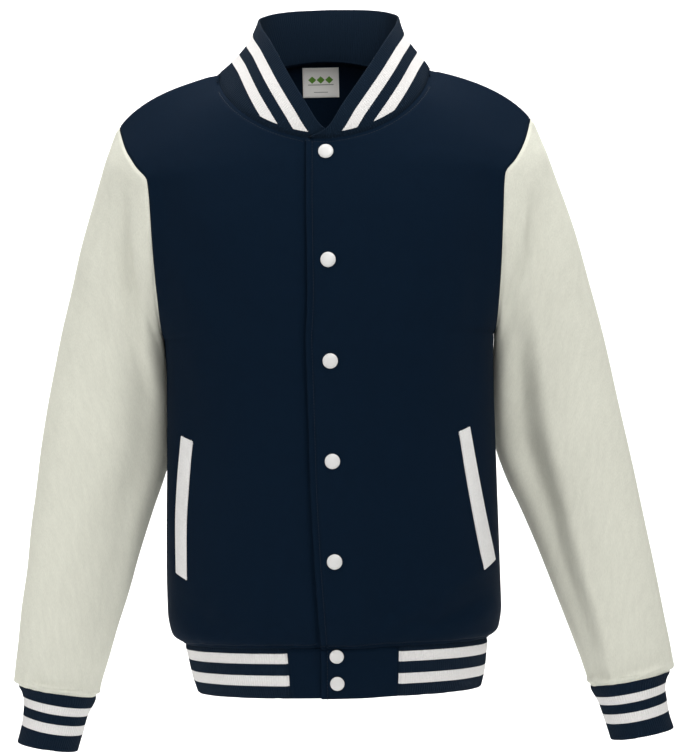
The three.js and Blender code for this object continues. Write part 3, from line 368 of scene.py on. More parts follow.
def neck_place(rows, degrees):
    """The places (across, up) of the neckline, at angles from the centre front or back."""
    degrees = np.asarray(degrees, float)
    corner_across = find_across(rows, NECK_HALF, SHOULDER)
    corner = plain_body(rows, corner_across, SHOULDER)
    front = rows is FRONT_ROWS
    power = 2 / NECK_SQUARE["front" if front else "back"]
    angle = np.radians(np.minimum(np.abs(degrees), 89.999))
    x = NECK_HALF * np.sin(angle) ** power
    fall = np.cos(angle) ** power
    axis, goal, rising = (2, NECK_FRONT_Z, 1) if front else (1, NECK_BACK_Y, -1)
    value = corner[axis] + (goal - corner[axis]) * fall
    low, high = np.zeros_like(x), np.full_like(x, SHOULDER)
    for _ in range(32):
        middle = (low + high) / 2
        across = find_across(rows, x, middle)
        short = (plain_body(rows, across, middle)[..., axis] - value) * rising < 0
        low, high = np.where(short, middle, low), np.where(short, high, middle)
    at_corner = np.abs(degrees) >= 90
    sign = np.where(degrees < 0, -1, 1)
    across = np.where(at_corner, corner_across, find_across(rows, x, low))
    return sign * across, np.where(at_corner, SHOULDER, low)


def lengths(points, axis=0):
    """How far each point of a grid lies from the first one of its line."""
    steps = np.linalg.norm(np.diff(points, axis=axis), axis=-1)
    start = np.zeros_like(np.take(steps, [0], axis))
    return np.concatenate([start, np.cumsum(steps, axis)], axis)


def spaced(length, step, start=(), end=()):
    """Places from 0 to length about a step apart, with closer ones at the start and back from the end."""
    first, last = (start[-1] if start else 0), length - (end[-1] if end else 0)
    middle = np.linspace(first, last, max(2, round((last - first) / step) + 1))
    every = np.concatenate([[0], start, middle, length - np.array(end), [length]])
    return np.unique(every.round(4))


def distance_to(points, line):
    """The distance of every point of a grid from a line of points."""
    flat = points.reshape(-1, 3)
    start, step = line[:-1], np.diff(line, axis=0)
    squared = np.maximum((step**2).sum(-1), 1e-9)
    gaps = []
    for at in range(0, len(flat), 1500):
        away = flat[at : at + 1500, None] - start
        share = np.clip((away * step).sum(-1) / squared, 0, 1)
        gaps.append(np.linalg.norm(away - share[..., None] * step, axis=-1).min(1))
    return np.concatenate(gaps).reshape(points.shape[:-1])


def normals_of(points, closed=False):
    """Normals of a grid, along its columns crossed with up its rows."""
    along = np.roll(points, -1, 0) - np.roll(points, 1, 0) if closed else np.gradient(points, axis=0)
    return unit(np.cross(along, np.gradient(points, axis=1)))


def waver(points, size, seed):
    """An uneven wave through space, about -1 to 1, with swells of about a size."""
    random = np.random.default_rng(seed)
    total = np.zeros(points.shape[:-1])
    for _ in range(7):
        direction = unit(random.normal(size=3))
        turn = random.uniform(0.7, 1.5) * 2 * np.pi / size
        total += np.sin(points @ direction * turn + random.uniform(0, 2 * np.pi))
    return total / 3.5


def bump(distance, width):
    return np.exp(-((distance / width) ** 2))


def rounded(distance, thickness):
    """How far a wall's face falls back beside a folded edge, so that the edge is half round."""
    radius = thickness / 2
    inside = np.clip(1 - distance / radius, 0, 1)
    return radius * (1 - np.sqrt(np.maximum(1 - inside**2, 0)))


def lift_at(x):
    """How far the upper front, or what is sewn to it, stands off at x."""
    return LIFT * ease((60 - x) / 36)


class Cloth:
    """A piece of cloth: a grid of points on its outside, with what is pressed into each face."""

    def __init__(self, points, turned=False, closed=False):
        self.points = points[::-1] if turned else points
        self.closed = closed
        self.normals = normals_of(self.points, closed)
        self.outer_sink = np.zeros(points.shape[:2])
        self.inner_sink = np.zeros(points.shape[:2])
        self.lift = np.zeros(points.shape[:2])
        self.grain = None  # places along and up the cloth, where its grain isn't the grid's own

    def along(self, side, values):
        """The values on one border of the grid, as a view that can be written to."""
        return {"start": values[0], "end": values[-1], "bottom": values[:, 0], "top": values[:, -1]}[side]

    def sides(self):
        return ("bottom", "top") if self.closed else ("bottom", "top", "start", "end")

    def border(self, side):
        """One border of the grid and every point's distance from it."""
        line = self.along(side, self.points)
        if self.closed:
            line = np.vstack([line, line[:1]])
        return line, distance_to(self.points, line)

    def turn_border(self, side, shared):
        """Turns the normals on a border to the ones shared with its neighbours, and those beside it in part."""
        change = shared - self.along(side, self.normals)
        across = side in ("bottom", "top")
        run = lengths(self.points, 1 if across else 0)
        if side in ("top", "end"):
            run = (run[:, -1:] if across else run[-1:]) - run
        near = np.exp(-((run / 6) ** 2))[..., None]
        self.normals = unit(self.normals + near * (change[:, None] if across else change[None]))
        outward = self.along(side, self.points) - self.next_to(side)
        self.along(side, self.points)[:] += 0.12 * unit(outward)

    def next_to(self, side):
        p = self.points
        return {"start": p[1], "end": p[-2], "bottom": p[:, 1], "top": p[:, -2]}[side]

    def seam(self, distance):
        """Rolls the outside in where it is sewn to its neighbour."""
        sizes = bpy.context.scene.jacket_sizes
        self.outer_sink += sizes.seam_depth / MM * bump(distance, sizes.seam_roll / MM)

    def fold(self, distance, thickness):
        self.outer_sink = np.maximum(self.outer_sink, rounded(distance, thickness))
        self.inner_sink = np.maximum(self.inner_sink, rounded(distance, thickness))

    def groove(self, distance, gap, share=1):
        """Presses in the line of a row of stitches, at a gap from a border."""
        sizes = bpy.context.scene.jacket_sizes
        self.outer_sink += share * sizes.stitch_press / MM * bump(distance - gap, STITCH_REACH)

    def outside(self):
        return self.points + self.normals * (self.lift - self.outer_sink)[..., None]

    def inside(self, thickness):
        return self.points + self.normals * (self.lift - thickness + self.inner_sink)[..., None]

    def line_at(self, distance, gap, border, face=None):
        """A line on the outside, or on another face, at a gap from a border: its points and their normals."""
        outside, normals = self.outside() if face is None else face, self.normals
        if border in ("start", "end"):
            outside, normals, distance = (a.swapaxes(0, 1) for a in (outside, normals, distance))
        if border in ("end", "top"):
            outside, normals, distance = (a[:, ::-1] for a in (outside, normals, distance))
        j = np.clip((distance >= gap).argmax(1), 1, None)
        i = np.arange(len(j))
        share = ((gap - distance[i, j - 1]) / (distance[i, j] - distance[i, j - 1]))[:, None]
        return outside[i, j - 1] * (1 - share) + outside[i, j] * share, normals[i, j]


def sew(cloths):
    """Gives the borders that meet one shared normal, so that both walls end in the same plane."""
    trees = []
    for cloth in cloths:
        points, normals = [], []
        for side in cloth.sides():
            line, facing = cloth.along(side, cloth.points), cloth.along(side, cloth.normals)
            if cloth.closed:
                line, facing = np.vstack([line, line[:1]]), np.vstack([facing, facing[:1]])
            run = lengths(line)
            fine = np.linspace(0, run[-1], round(run[-1] / 0.6) + 2)
            points.append(np.stack([np.interp(fine, run, line[:, a]) for a in range(3)], -1))
            normals.append(np.stack([np.interp(fine, run, facing[:, a]) for a in range(3)], -1))
        points, normals = np.concatenate(points), np.concatenate(normals)
        tree = KDTree(len(points))
        for k, place in enumerate(points):
            tree.insert(place, k)
        tree.balance()
        trees.append((tree, normals, points.min(0) - 2, points.max(0) + 2))
    shared = []
    for cloth in cloths:
        for side in cloth.sides():
            line, total = cloth.along(side, cloth.points), cloth.along(side, cloth.normals).copy()
            for other, (tree, normals, low, high) in zip(cloths, trees):
                if other is cloth or (line > high).any(1).all() or (line < low).any(1).all():
                    continue
                for k in np.flatnonzero(((line > low) & (line < high)).all(1)):
                    _, nearest, away = tree.find(line[k])
                    if away < 0.8:
                        total[k] += normals[nearest]
            shared.append((cloth, side, unit(total)))
    for cloth, side, facing in shared:
        cloth.turn_border(side, facing)


def wall_mesh(name, cloth, thickness, u=None, v=None):
    """A closed wall of cloth as a mesh in metres, with its lengths as a UV map and faces marked as outside."""
    outer, inner = cloth.outside(), cloth.inside(thickness)
    columns, rows = outer.shape[:2]
    steps = columns if cloth.closed else columns - 1
    i, j = (a.ravel() for a in np.meshgrid(np.arange(steps), np.arange(rows - 1), indexing="ij"))
    here, beside = i * rows + j, (i + 1) % columns * rows + j
    outside = np.stack([here, beside, beside + 1, here + 1], -1)
    count = columns * rows
    faces = [outside, outside[:, ::-1] + count]
    k = np.arange(steps)
    low, low_next = k * rows, (k + 1) % columns * rows
    faces.append(np.stack([low, low + count, low_next + count, low_next], -1))
    high, high_next = low + rows - 1, low_next + rows - 1
    faces.append(np.stack([high_next, high_next + count, high + count, high], -1))
    if not cloth.closed:
        k = np.arange(rows - 1)
        faces.append(np.stack([k + 1, k + 1 + count, k + count, k], -1))
        k = k + (columns - 1) * rows
        faces.append(np.stack([k, k + count, k + 1 + count, k + 1], -1))
    quads = np.concatenate(faces)
    mesh = bpy.data.meshes.new(name)
    points = np.concatenate([outer.reshape(-1, 3), inner.reshape(-1, 3)]) * MM
    mesh.from_pydata(points.tolist(), [], quads.tolist())
    if cloth.grain is not None:
        u, v = cloth.grain[..., 0], cloth.grain[..., 1]
    if u is None:
        u = lengths(cloth.points, 0).mean(1)
    if v is None:
        v = lengths(cloth.points, 1)
    total = u[-1].max() + cloth.closed * np.linalg.norm(cloth.points[0] - cloth.points[-1], axis=-1).mean()
    along = np.tile(np.broadcast_to(u.reshape(columns, -1), (columns, rows)).ravel(), 2) * MM
    corners = np.stack([along, np.tile(v.ravel(), 2) * MM], -1)[quads]
    if cloth.closed:
        wraps = np.ptp(corners[..., 0], axis=1) > total * MM / 2
        corners[..., 0] += (wraps[:, None] & (corners[..., 0] < total * MM / 2)) * total * MM
    mesh.uv_layers.new(name="Cloth").uv.foreach_set("vector", corners.astype(np.float32).ravel())
    mesh.attributes.new("round", "FLOAT", "POINT").data.foreach_set("value", along.astype(np.float32))
    is_outside = np.zeros(len(quads), bool)
    is_outside[: len(outside)] = True
    mesh.attributes.new("outside", "BOOLEAN", "FACE").data.foreach_set("value", is_outside)
    mesh.shade_smooth()
    return mesh, total


def area_of(points, closed):
    """The area of a grid of points and the greatest width and length of its cut, in metres."""
    loop = np.concatenate([points, points[:1]]) if closed else points
    a, b = np.diff(loop, axis=0)[:, :-1], np.diff(loop, axis=1)[:-1]
    area = np.linalg.norm(np.cross(a, b), axis=-1).sum() * MM * MM
    width, length = lengths(loop, 0)[-1].max() * MM, lengths(loop, 1)[:, -1].max() * MM
    return float(area), float(width), float(length)


def add_piece(name, mesh, materials):
    """Puts a mesh into the scene as a piece with its finishes. Its name tells it from the CAD node."""
    piece = bpy.data.objects.new(name + SEWN, mesh)
    bpy.context.collection.objects.link(piece)
    mesh.materials.clear()
    for material in materials:
        mesh.materials.append(material)
    return piece


def declare(piece, nodes=()):
    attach(piece, "root")
    if nodes:
        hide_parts(*nodes)
    return piece


def declare_cloth(cloth):
    area, width, length = area_of(cloth.points, cloth.closed)
    area, length = min(area, 0.999 * width * length), max(length, NARROWEST_CUT)


def surface_of(name):
    """The faces of a finished piece, to find places on."""
    mesh = bpy.data.objects[name + SEWN].data
    points = np.empty(len(mesh.vertices) * 3)
    mesh.vertices.foreach_get("co", points)
    return BVHTree.FromPolygons(points.reshape(-1, 3).tolist(), [tuple(p.vertices) for p in mesh.polygons])


def seen_from(tree, start, direction):
    """The first place and normal that a straight look meets, in millimetres."""
    place, normal, _, _ = tree.ray_cast(Vector(start) * MM, Vector(direction))
    if place is None:
        raise RuntimeError(f"nothing is met from {tuple(start)}")
    return np.array(place) / MM, np.array(normal)


def add_node(tree, kind, inputs=None, **settings):
    """Adds a node with its settings, and fills its inputs with values or with other nodes' outputs."""
    node = tree.nodes.new(kind)
    for name, value in settings.items():
        setattr(node, name, value)
    for key, value in (inputs or {}).items():
        if isinstance(value, bpy.types.NodeSocket):
            tree.links.new(value, node.inputs[key])
        else:
            node.inputs[key].default_value = value
    return node


def add_math(tree, operation, *values):
    node = add_node(tree, "ShaderNodeMath", dict(enumerate(values)), operation=operation)
    return node.outputs[0]


def new_tree(name, sizes):
    """A geometry node tree with its named sizes as inputs, and its input and output nodes."""
    tree = bpy.data.node_groups.new(name, "GeometryNodeTree")
    tree.interface.new_socket("Geometry", in_out="INPUT", socket_type="NodeSocketGeometry")
    for size, value in sizes.items():
        socket = tree.interface.new_socket(size, in_out="INPUT", socket_type="NodeSocketFloat")
        socket.default_value = value
    tree.interface.new_socket("Geometry", in_out="OUTPUT", socket_type="NodeSocketGeometry")
    return tree, add_node(tree, "NodeGroupInput"), add_node(tree, "NodeGroupOutput")


def make_plain(piece, tree, values):
    """Runs a node tree on a piece and keeps the result as its plain mesh."""
    modifier = piece.modifiers.new("Shape", "NODES")
    modifier.node_group = tree
    for socket in tree.interface.items_tree:
        if socket.item_type == "SOCKET" and socket.in_out == "INPUT" and socket.name in values:
            modifier[socket.identifier] = float(values[socket.name])
    depsgraph = bpy.context.evaluated_depsgraph_get()
    made = bpy.data.meshes.new_from_object(
        piece.evaluated_get(depsgraph), preserve_all_data_layers=True, depsgraph=depsgraph
    )
    piece.modifiers.clear()
    old, piece.data = piece.data, made
    bpy.data.meshes.remove(old)
    made.name = piece.name
    return piece


def rib_tree(material):
    """Raises the ribs of a knit: the wall falls back between them, and its outside takes the striped yarn."""
    sizes = bpy.context.scene.jacket_sizes
    tree, start, end = new_tree("Knit ribs " + material.name, {"Rib pitch": sizes.rib_pitch, "Rib depth": sizes.rib_depth})
    place = add_node(tree, "GeometryNodeInputNamedAttribute", {"Name": "round"}, data_type="FLOAT")
    turns = add_math(tree, "DIVIDE", place.outputs["Attribute"], start.outputs["Rib pitch"])
    wave = add_math(tree, "COSINE", add_math(tree, "MULTIPLY", turns, 2 * math.pi))
    fall = add_math(tree, "MULTIPLY", add_math(tree, "SUBTRACT", wave, 1.0), add_math(tree, "MULTIPLY", start.outputs["Rib depth"], 0.5))
    normal = add_node(tree, "GeometryNodeInputNormal")
    offset = add_node(tree, "ShaderNodeVectorMath", {0: normal.outputs[0], "Scale": fall}, operation="SCALE")
    moved = add_node(tree, "GeometryNodeSetPosition", {"Geometry": start.outputs["Geometry"], "Offset": offset.outputs[0]})
    real = add_node(tree, "GeometryNodeRealizeInstances", {"Geometry": moved.outputs[0]})
    outside = add_node(tree, "GeometryNodeInputNamedAttribute", {"Name": "outside"}, data_type="BOOLEAN")
    worn = add_node(
        tree,
        "GeometryNodeSetMaterial",
        {"Geometry": real.outputs[0], "Selection": outside.outputs["Attribute"], "Material": material},
    )
    tree.links.new(worn.outputs[0], end.inputs[0])
    return tree


def stitch_tree(material):
    """Lays a row of stitches along each line of the mesh, flat on the cloth."""
    sizes = bpy.context.scene.jacket_sizes
    tree, start, end = new_tree(
        "Stitches " + material.name,
        {"Stitch length": sizes.stitch_length, "Gap": sizes.stitch_gap, "Thread width": sizes.thread_width},
    )
    curve = add_node(tree, "GeometryNodeMeshToCurve", {"Mesh": start.outputs["Geometry"]})
    pitch = add_math(tree, "ADD", start.outputs["Stitch length"], start.outputs["Gap"])
    resampled = add_node(tree, "GeometryNodeResampleCurve", {"Curve": curve.outputs[0], "Length": pitch}, mode="LENGTH")
    stitch = add_node(tree, "GeometryNodeMeshUVSphere", {"Segments": 6, "Rings": 4, "Radius": 0.5})
    tangent = add_node(tree, "GeometryNodeInputTangent")
    normal = add_node(tree, "GeometryNodeInputNamedAttribute", {"Name": "face"}, data_type="FLOAT_VECTOR")
    along = add_node(tree, "FunctionNodeAlignRotationToVector", {"Vector": tangent.outputs[0]}, axis="X")
    flat = add_node(
        tree,
        "FunctionNodeAlignRotationToVector",
        {"Rotation": along.outputs[0], "Vector": normal.outputs["Attribute"]},
        axis="Z",
        pivot_axis="X",
    )
    thin = add_math(tree, "MULTIPLY", start.outputs["Thread width"], 0.7)
    scale = add_node(
        tree,
        "ShaderNodeCombineXYZ",
        {"X": start.outputs["Stitch length"], "Y": start.outputs["Thread width"], "Z": thin},
    )
    laid = add_node(
        tree,
        "GeometryNodeInstanceOnPoints",
        {"Points": resampled.outputs[0], "Instance": stitch.outputs["Mesh"], "Rotation": flat.outputs[0], "Scale": scale.outputs[0]},
    )
    real = add_node(tree, "GeometryNodeRealizeInstances", {"Geometry": laid.outputs[0]})
    worn = add_node(tree, "GeometryNodeSetMaterial", {"Geometry": real.outputs[0], "Material": material})
    tree.links.new(worn.outputs[0], end.inputs[0])
    return tree


def snap_tree(cap, material):
    """Presses a snap cap onto each point, square to the cloth and as wide as the point says."""
    tree, start, end = new_tree("Snap caps", {"Cap height": bpy.context.scene.jacket_sizes.snap_height})
    source = add_node(tree, "GeometryNodeObjectInfo", {"Object": cap})
    normal = add_node(tree, "GeometryNodeInputNamedAttribute", {"Name": "face"}, data_type="FLOAT_VECTOR")
    radius = add_node(tree, "GeometryNodeInputNamedAttribute", {"Name": "cap radius"}, data_type="FLOAT")
    square = add_node(tree, "FunctionNodeAlignRotationToVector", {"Vector": normal.outputs["Attribute"]}, axis="Z")
    scale = add_node(
        tree,
        "ShaderNodeCombineXYZ",
        {"X": radius.outputs["Attribute"], "Y": radius.outputs["Attribute"], "Z": start.outputs["Cap height"]},
    )
    points = add_node(tree, "GeometryNodeMeshToPoints", {"Mesh": start.outputs["Geometry"]})
    pressed = add_node(
        tree,
        "GeometryNodeInstanceOnPoints",
        {"Points": points.outputs[0], "Instance": source.outputs["Geometry"], "Rotation": square.outputs[0], "Scale": scale.outputs[0]},
    )
    real = add_node(tree, "GeometryNodeRealizeInstances", {"Geometry": pressed.outputs[0]})
    worn = add_node(tree, "GeometryNodeSetMaterial", {"Geometry": real.outputs[0], "Material": material})
    tree.links.new(worn.outputs[0], end.inputs[0])
    return tree


def new_material(name, roughness, **constants):
    """A material whose surface is one principled shader with its constants on its own sockets."""
    material = bpy.data.materials.new(name)
    material.use_nodes = True
    tree = material.node_tree
    shader = tree.nodes["Principled BSDF"]
    shader.inputs["Roughness"].default_value = roughness
    for socket, value in constants.items():
        shader.inputs[socket.replace("_", " ")].default_value = value
    return material, tree, shader


def cloth_place(tree):
    """The place on the cloth in metres, along it (X) and up it (Y)."""
    place = add_node(tree, "ShaderNodeUVMap", uv_map="Cloth")
    split = add_node(tree, "ShaderNodeSeparateXYZ", {0: place.outputs[0]})
    return place.outputs[0], split.outputs["X"], split.outputs["Y"]


def knit_height(tree, along, up, wale, course):
    """The relief of plain knitting: columns of loops a wale apart that lean to and fro with each course."""
    lean = add_math(tree, "PINGPONG", add_math(tree, "DIVIDE", up, course), 0.5)
    turn = add_math(tree, "ADD", add_math(tree, "DIVIDE", along, wale), add_math(tree, "MULTIPLY", lean, 0.7))
    return add_math(tree, "SINE", add_math(tree, "MULTIPLY", turn, 2 * math.pi))


def fleece(name, colour, wale, course, relief, nap):
    """Cotton and polyester sweatshirt fleece: a dull knitted face with a soft bloom of loose fibre."""
    material, tree, shader = new_material(
        name, 0.95, Sheen_Weight=0.015, Sheen_Roughness=0.6, Specular_IOR_Level=0.05
    )
    shader.inputs["Sheen Tint"].default_value = (*[min(1, 0.25 + c) for c in colour[:3]], 1)
    place, along, up = cloth_place(tree)
    # Yarn lots differ a little: soft blotches of 12 mm and a fine mottle of 2 mm
    blotch = add_node(tree, "ShaderNodeTexNoise", {"Vector": place, "Scale": 80.0, "Detail": 2.0})
    mottle = add_node(tree, "ShaderNodeTexNoise", {"Vector": place, "Scale": 500.0, "Detail": 2.0})
    shade = add_math(tree, "MULTIPLY_ADD", blotch.outputs[0], 0.14, 0.87)
    shade = add_math(tree, "MULTIPLY", shade, add_math(tree, "MULTIPLY_ADD", mottle.outputs[0], 0.24, 0.88))
    tint = add_node(tree, "ShaderNodeVectorMath", {0: tuple(colour[:3]), "Scale": shade}, operation="SCALE")
    tree.links.new(tint.outputs[0], shader.inputs["Base Color"])
    fibre = add_node(tree, "ShaderNodeTexNoise", {"Vector": place, "Scale": 1400.0, "Detail": 3.0})
    height = add_math(
        tree, "ADD",
        add_math(tree, "MULTIPLY", knit_height(tree, along, up, wale, course), relief),
        add_math(tree, "MULTIPLY", fibre.outputs[0], nap),
    )
    raised = add_node(tree, "ShaderNodeBump", {"Height": height, "Strength": 0.6, "Distance": 0.0003})
    tree.links.new(raised.outputs[0], shader.inputs["Normal"])
    return material


def striped_rib(name, ground, stripe, widths, plain=0):
    """Two by two rib knit in acrylic and cotton, with two stripes knitted in across its wales."""
    material, tree, shader = new_material(name, 0.92, Sheen_Weight=0.015, Sheen_Roughness=0.6, Specular_IOR_Level=0.08)
    place, along, up = cloth_place(tree)
    total = sum(widths) * MM
    sizes = bpy.context.scene.jacket_sizes
    # A stripe's edge steps by a fraction of a course from rib to rib
    step = add_math(tree, "COSINE", add_math(tree, "MULTIPLY", along, 2 * math.pi / sizes.rib_pitch))
    level = add_math(tree, "MULTIPLY_ADD", step, 0.00018, up)
    ramp = add_node(tree, "ShaderNodeValToRGB", {0: add_math(tree, "DIVIDE", level, total)})
    ramp.color_ramp.interpolation = "CONSTANT"
    edges = np.cumsum([0, *widths[:-1]]) * MM / total
    colours = [ground, stripe]
    stops = ramp.color_ramp.elements
    stops[0].position, stops[0].color = 0, colours[0]
    stops[1].position, stops[1].color = float(edges[1]), colours[1]
    for k in range(2, len(edges)):
        stops.new(float(edges[k])).color = colours[k % 2]
    knitted = ramp.outputs[0]
    if plain:
        # The stripes stop above the seam, where the band is turned in
        above = add_node(tree, "ShaderNodeAttribute", attribute_name="from seam")
        is_plain = add_math(tree, "LESS_THAN", above.outputs["Fac"], plain * MM)
        knitted = add_node(
            tree, "ShaderNodeMix", {0: is_plain, "A": knitted, "B": ground}, data_type="RGBA"
        ).outputs["Result"]
    mottle = add_node(tree, "ShaderNodeTexNoise", {"Vector": place, "Scale": 450.0, "Detail": 2.0})
    shade = add_math(tree, "MULTIPLY_ADD", mottle.outputs[0], 0.22, 0.89)
    tint = add_node(tree, "ShaderNodeVectorMath", {0: knitted, "Scale": shade}, operation="SCALE")
    tree.links.new(tint.outputs[0], shader.inputs["Base Color"])
    height = knit_height(tree, along, up, sizes.rib_pitch / 2, 0.0014)
    raised = add_node(tree, "ShaderNodeBump", {"Height": height, "Strength": 0.35, "Distance": 0.00025})
    tree.links.new(raised.outputs[0], shader.inputs["Normal"])
    return material


def plain_thread(name, colour):
    """Spun polyester sewing thread, dull with a faint lustre."""
    material, _, shader = new_material(name, 0.6, Specular_IOR_Level=0.35)
    shader.inputs["Base Color"].default_value = colour
    return material


def snap_plastic(name, colour):
    """Injection-moulded acetal: smooth and glossy, a little soft at its edges."""
    material, _, shader = new_material(name, 0.32, IOR=1.48)
    shader.inputs["Base Color"].default_value = colour
    return material


def label_weave(name, ground, green, grey):
    """A damask label: satin ground, a row of small diamonds and two thin lines woven in."""
    material, tree, shader = new_material(name, 0.55, Specular_IOR_Level=0.4)
    _, along, up = cloth_place(tree)
    across = add_math(tree, "SUBTRACT", along, LABEL["width"] * MM / 2)
    inside = add_math(tree, "LESS_THAN", add_math(tree, "ABSOLUTE", across), 0.0145)
    cell = add_math(tree, "PINGPONG", across, 0.00483)
    rise = add_math(tree, "ABSOLUTE", add_math(tree, "SUBTRACT", up, 0.0215))
    diamond = add_math(tree, "LESS_THAN", add_math(tree, "ADD", cell, rise), 0.0046)
    diamonds = add_math(tree, "MULTIPLY", diamond, inside)
    first = add_math(tree, "LESS_THAN", add_math(tree, "ABSOLUTE", add_math(tree, "SUBTRACT", up, 0.0155)), 0.0005)
    second = add_math(tree, "LESS_THAN", add_math(tree, "ABSOLUTE", add_math(tree, "SUBTRACT", up, 0.0065)), 0.0004)
    short = add_math(tree, "LESS_THAN", add_math(tree, "ABSOLUTE", across), 0.008)
    lines = add_math(tree, "MAXIMUM", add_math(tree, "MULTIPLY", first, inside), add_math(tree, "MULTIPLY", second, short))
    lined = add_node(tree, "ShaderNodeMix", {0: lines, "A": ground, "B": grey}, data_type="RGBA")
    return material, tree, shader, lined, diamonds


class JacketSizes(bpy.types.PropertyGroup):
    cloth_wall: FloatProperty(name="Fleece", description="Thickness of the fleece", default=2.2 * MM, unit="LENGTH")
    rib_wall: FloatProperty(name="Rib knit", description="Thickness of the doubled rib knit", default=2.6 * MM, unit="LENGTH")
    rib_pitch: FloatProperty(name="Rib pitch", description="From one rib of the knit to the next", default=2.7 * MM, unit="LENGTH")
    rib_depth: FloatProperty(name="Rib depth", description="How deep the knit falls between two ribs", default=0.45 * MM, unit="LENGTH")
    welt_wall: FloatProperty(name="Welt", description="Thickness of a pocket welt", default=1.7 * MM, unit="LENGTH")
    seam_depth: FloatProperty(name="Seam depth", description="How far cloth rolls in at a seam", default=1.6 * MM, unit="LENGTH")
    seam_roll: FloatProperty(name="Seam roll", description="How far from a seam its roll reaches", default=2.3 * MM, unit="LENGTH")
    edge_stitch: FloatProperty(name="Edge stitching", description="From the front edge to its stitches", default=6.5 * MM, unit="LENGTH")
    seam_stitch: FloatProperty(name="Seam stitching", description="From a seam to the stitches beside it", default=5 * MM, unit="LENGTH")
    lap_trough: FloatProperty(name="Lap trough", description="How deep the lower front falls back beside the upper one's edge", default=2.8 * MM, unit="LENGTH")
    neck_stitch: FloatProperty(name="Neck stitching", description="From the neck seam to the stitches below it", default=4.5 * MM, unit="LENGTH")
    stitch_press: FloatProperty(name="Stitch press", description="How deep a row of stitches is drawn into the cloth", default=1.5 * MM, unit="LENGTH")
    stitch_length: FloatProperty(name="Stitch length", description="Length of one stitch", default=2.6 * MM, unit="LENGTH")
    stitch_gap: FloatProperty(name="Stitch gap", description="Gap between two stitches", default=0.7 * MM, unit="LENGTH")
    thread_width: FloatProperty(name="Thread width", description="Width of the sewing thread", default=0.6 * MM, unit="LENGTH")
    snap_height: FloatProperty(name="Snap height", description="Height of a snap cap over the cloth", default=2.6 * MM, unit="LENGTH")


def colour_of(name, description, value):
    return FloatVectorProperty(name=name, description=description, default=linear(value), size=4, subtype="COLOR", min=0, max=1)


class JacketColours(bpy.types.PropertyGroup):
    body: colour_of("Body", "Fleece of the fronts, the back and the hem tabs", "#061524")
    sleeves: colour_of("Sleeves", "Fleece of the sleeves", "#CECEC1")
    rib: colour_of("Rib", "Ground of the rib bands", "#081725")
    stripe: colour_of("Stripes", "Stripes of the rib bands", "#D2D0CE")
    welt: colour_of("Welts", "Cloth of the pocket welts", "#D8D7D5")
    snap: colour_of("Snaps", "Plastic of the snap caps", "#C9C8C6")
    label: colour_of("Label", "Ground of the neck label", "#F0EEE9")
    label_green: colour_of("Label motif", "Woven motif of the neck label", "#5C8F2A")


def material_for(kind):
    """The finish of that kind, made when it is first wanted."""
    colours = bpy.context.scene.jacket_colours
    if kind in bpy.data.materials:
        return bpy.data.materials[kind]
    body_colour, rib_colour, stripe = list(colours.body), list(colours.rib), list(colours.stripe)
    if kind == "Navy fleece face":
        return fleece(kind, body_colour, 0.0013, 0.001, 0.25, 0.8)
    if kind == "Navy fleece back":
        return fleece(kind, body_colour, 0.0016, 0.0012, 0.1, 1.0)
    if kind == "Cream fleece face":
        return fleece(kind, list(colours.sleeves), 0.0013, 0.001, 0.25, 0.8)
    if kind == "Cream fleece back":
        return fleece(kind, list(colours.sleeves), 0.0016, 0.0012, 0.1, 1.0)
    if kind == "White fleece welt":
        return fleece(kind, list(colours.welt), 0.0013, 0.001, 0.3, 0.7)
    if kind.startswith("Striped rib knit"):
        band = kind.split()[-1]
        return striped_rib(kind, rib_colour, stripe, STRIPES[band], PLAIN_BELOW.get(band, 0))
    if kind == "Plain rib knit":
        return striped_rib(kind, rib_colour, rib_colour, (1, 1))
    if kind == "Navy thread":
        # The thread is the fleece's navy made a fifth darker: the navy is its own colour, and the darkening is painted
        # shade for the stitch grooves that it lies in.
        return plain_thread(kind, [0.8 * c for c in body_colour[:3]] + [1])
    if kind == "White thread":
        return plain_thread(kind, list(colours.welt))
    if kind == "White acetal":
        return snap_plastic(kind, list(colours.snap))
    if kind == "Woven label":
        material, tree, shader, lined, diamonds = label_weave(kind, list(colours.label), None, linear("#8C8C88"))
        both = add_node(
            tree, "ShaderNodeMix", {0: diamonds, "A": lined.outputs["Result"], "B": list(colours.label_green)}, data_type="RGBA"
        )
        tree.links.new(both.outputs["Result"], shader.inputs["Base Color"])
        return material
    raise RuntimeError(f"there is no finish {kind}")


def stitched(name, lines, thread):
    """One piece with rows of stitches along lines of (points, normals) on the cloth."""
    points, normals, edges = [], [], []
    for line, faces in lines:
        first = len(points)
        points.extend((line * MM).tolist())
        normals.extend(faces.tolist())
        edges.extend((k, k + 1) for k in range(first, first + len(line) - 1))
    mesh = bpy.data.meshes.new(name)
    mesh.from_pydata(points, edges, [])
    mesh.attributes.new("face", "FLOAT_VECTOR", "POINT").data.foreach_set("vector", np.array(normals, np.float32).ravel())
    piece = add_piece(name, mesh, [])
    sizes = bpy.context.scene.jacket_sizes
    material = material_for(thread)
    make_plain(piece, stitch_tree(material), {"Stitch length": sizes.stitch_length, "Gap": sizes.stitch_gap, "Thread width": sizes.thread_width})
    piece.data.shade_smooth()
    return declare(piece)


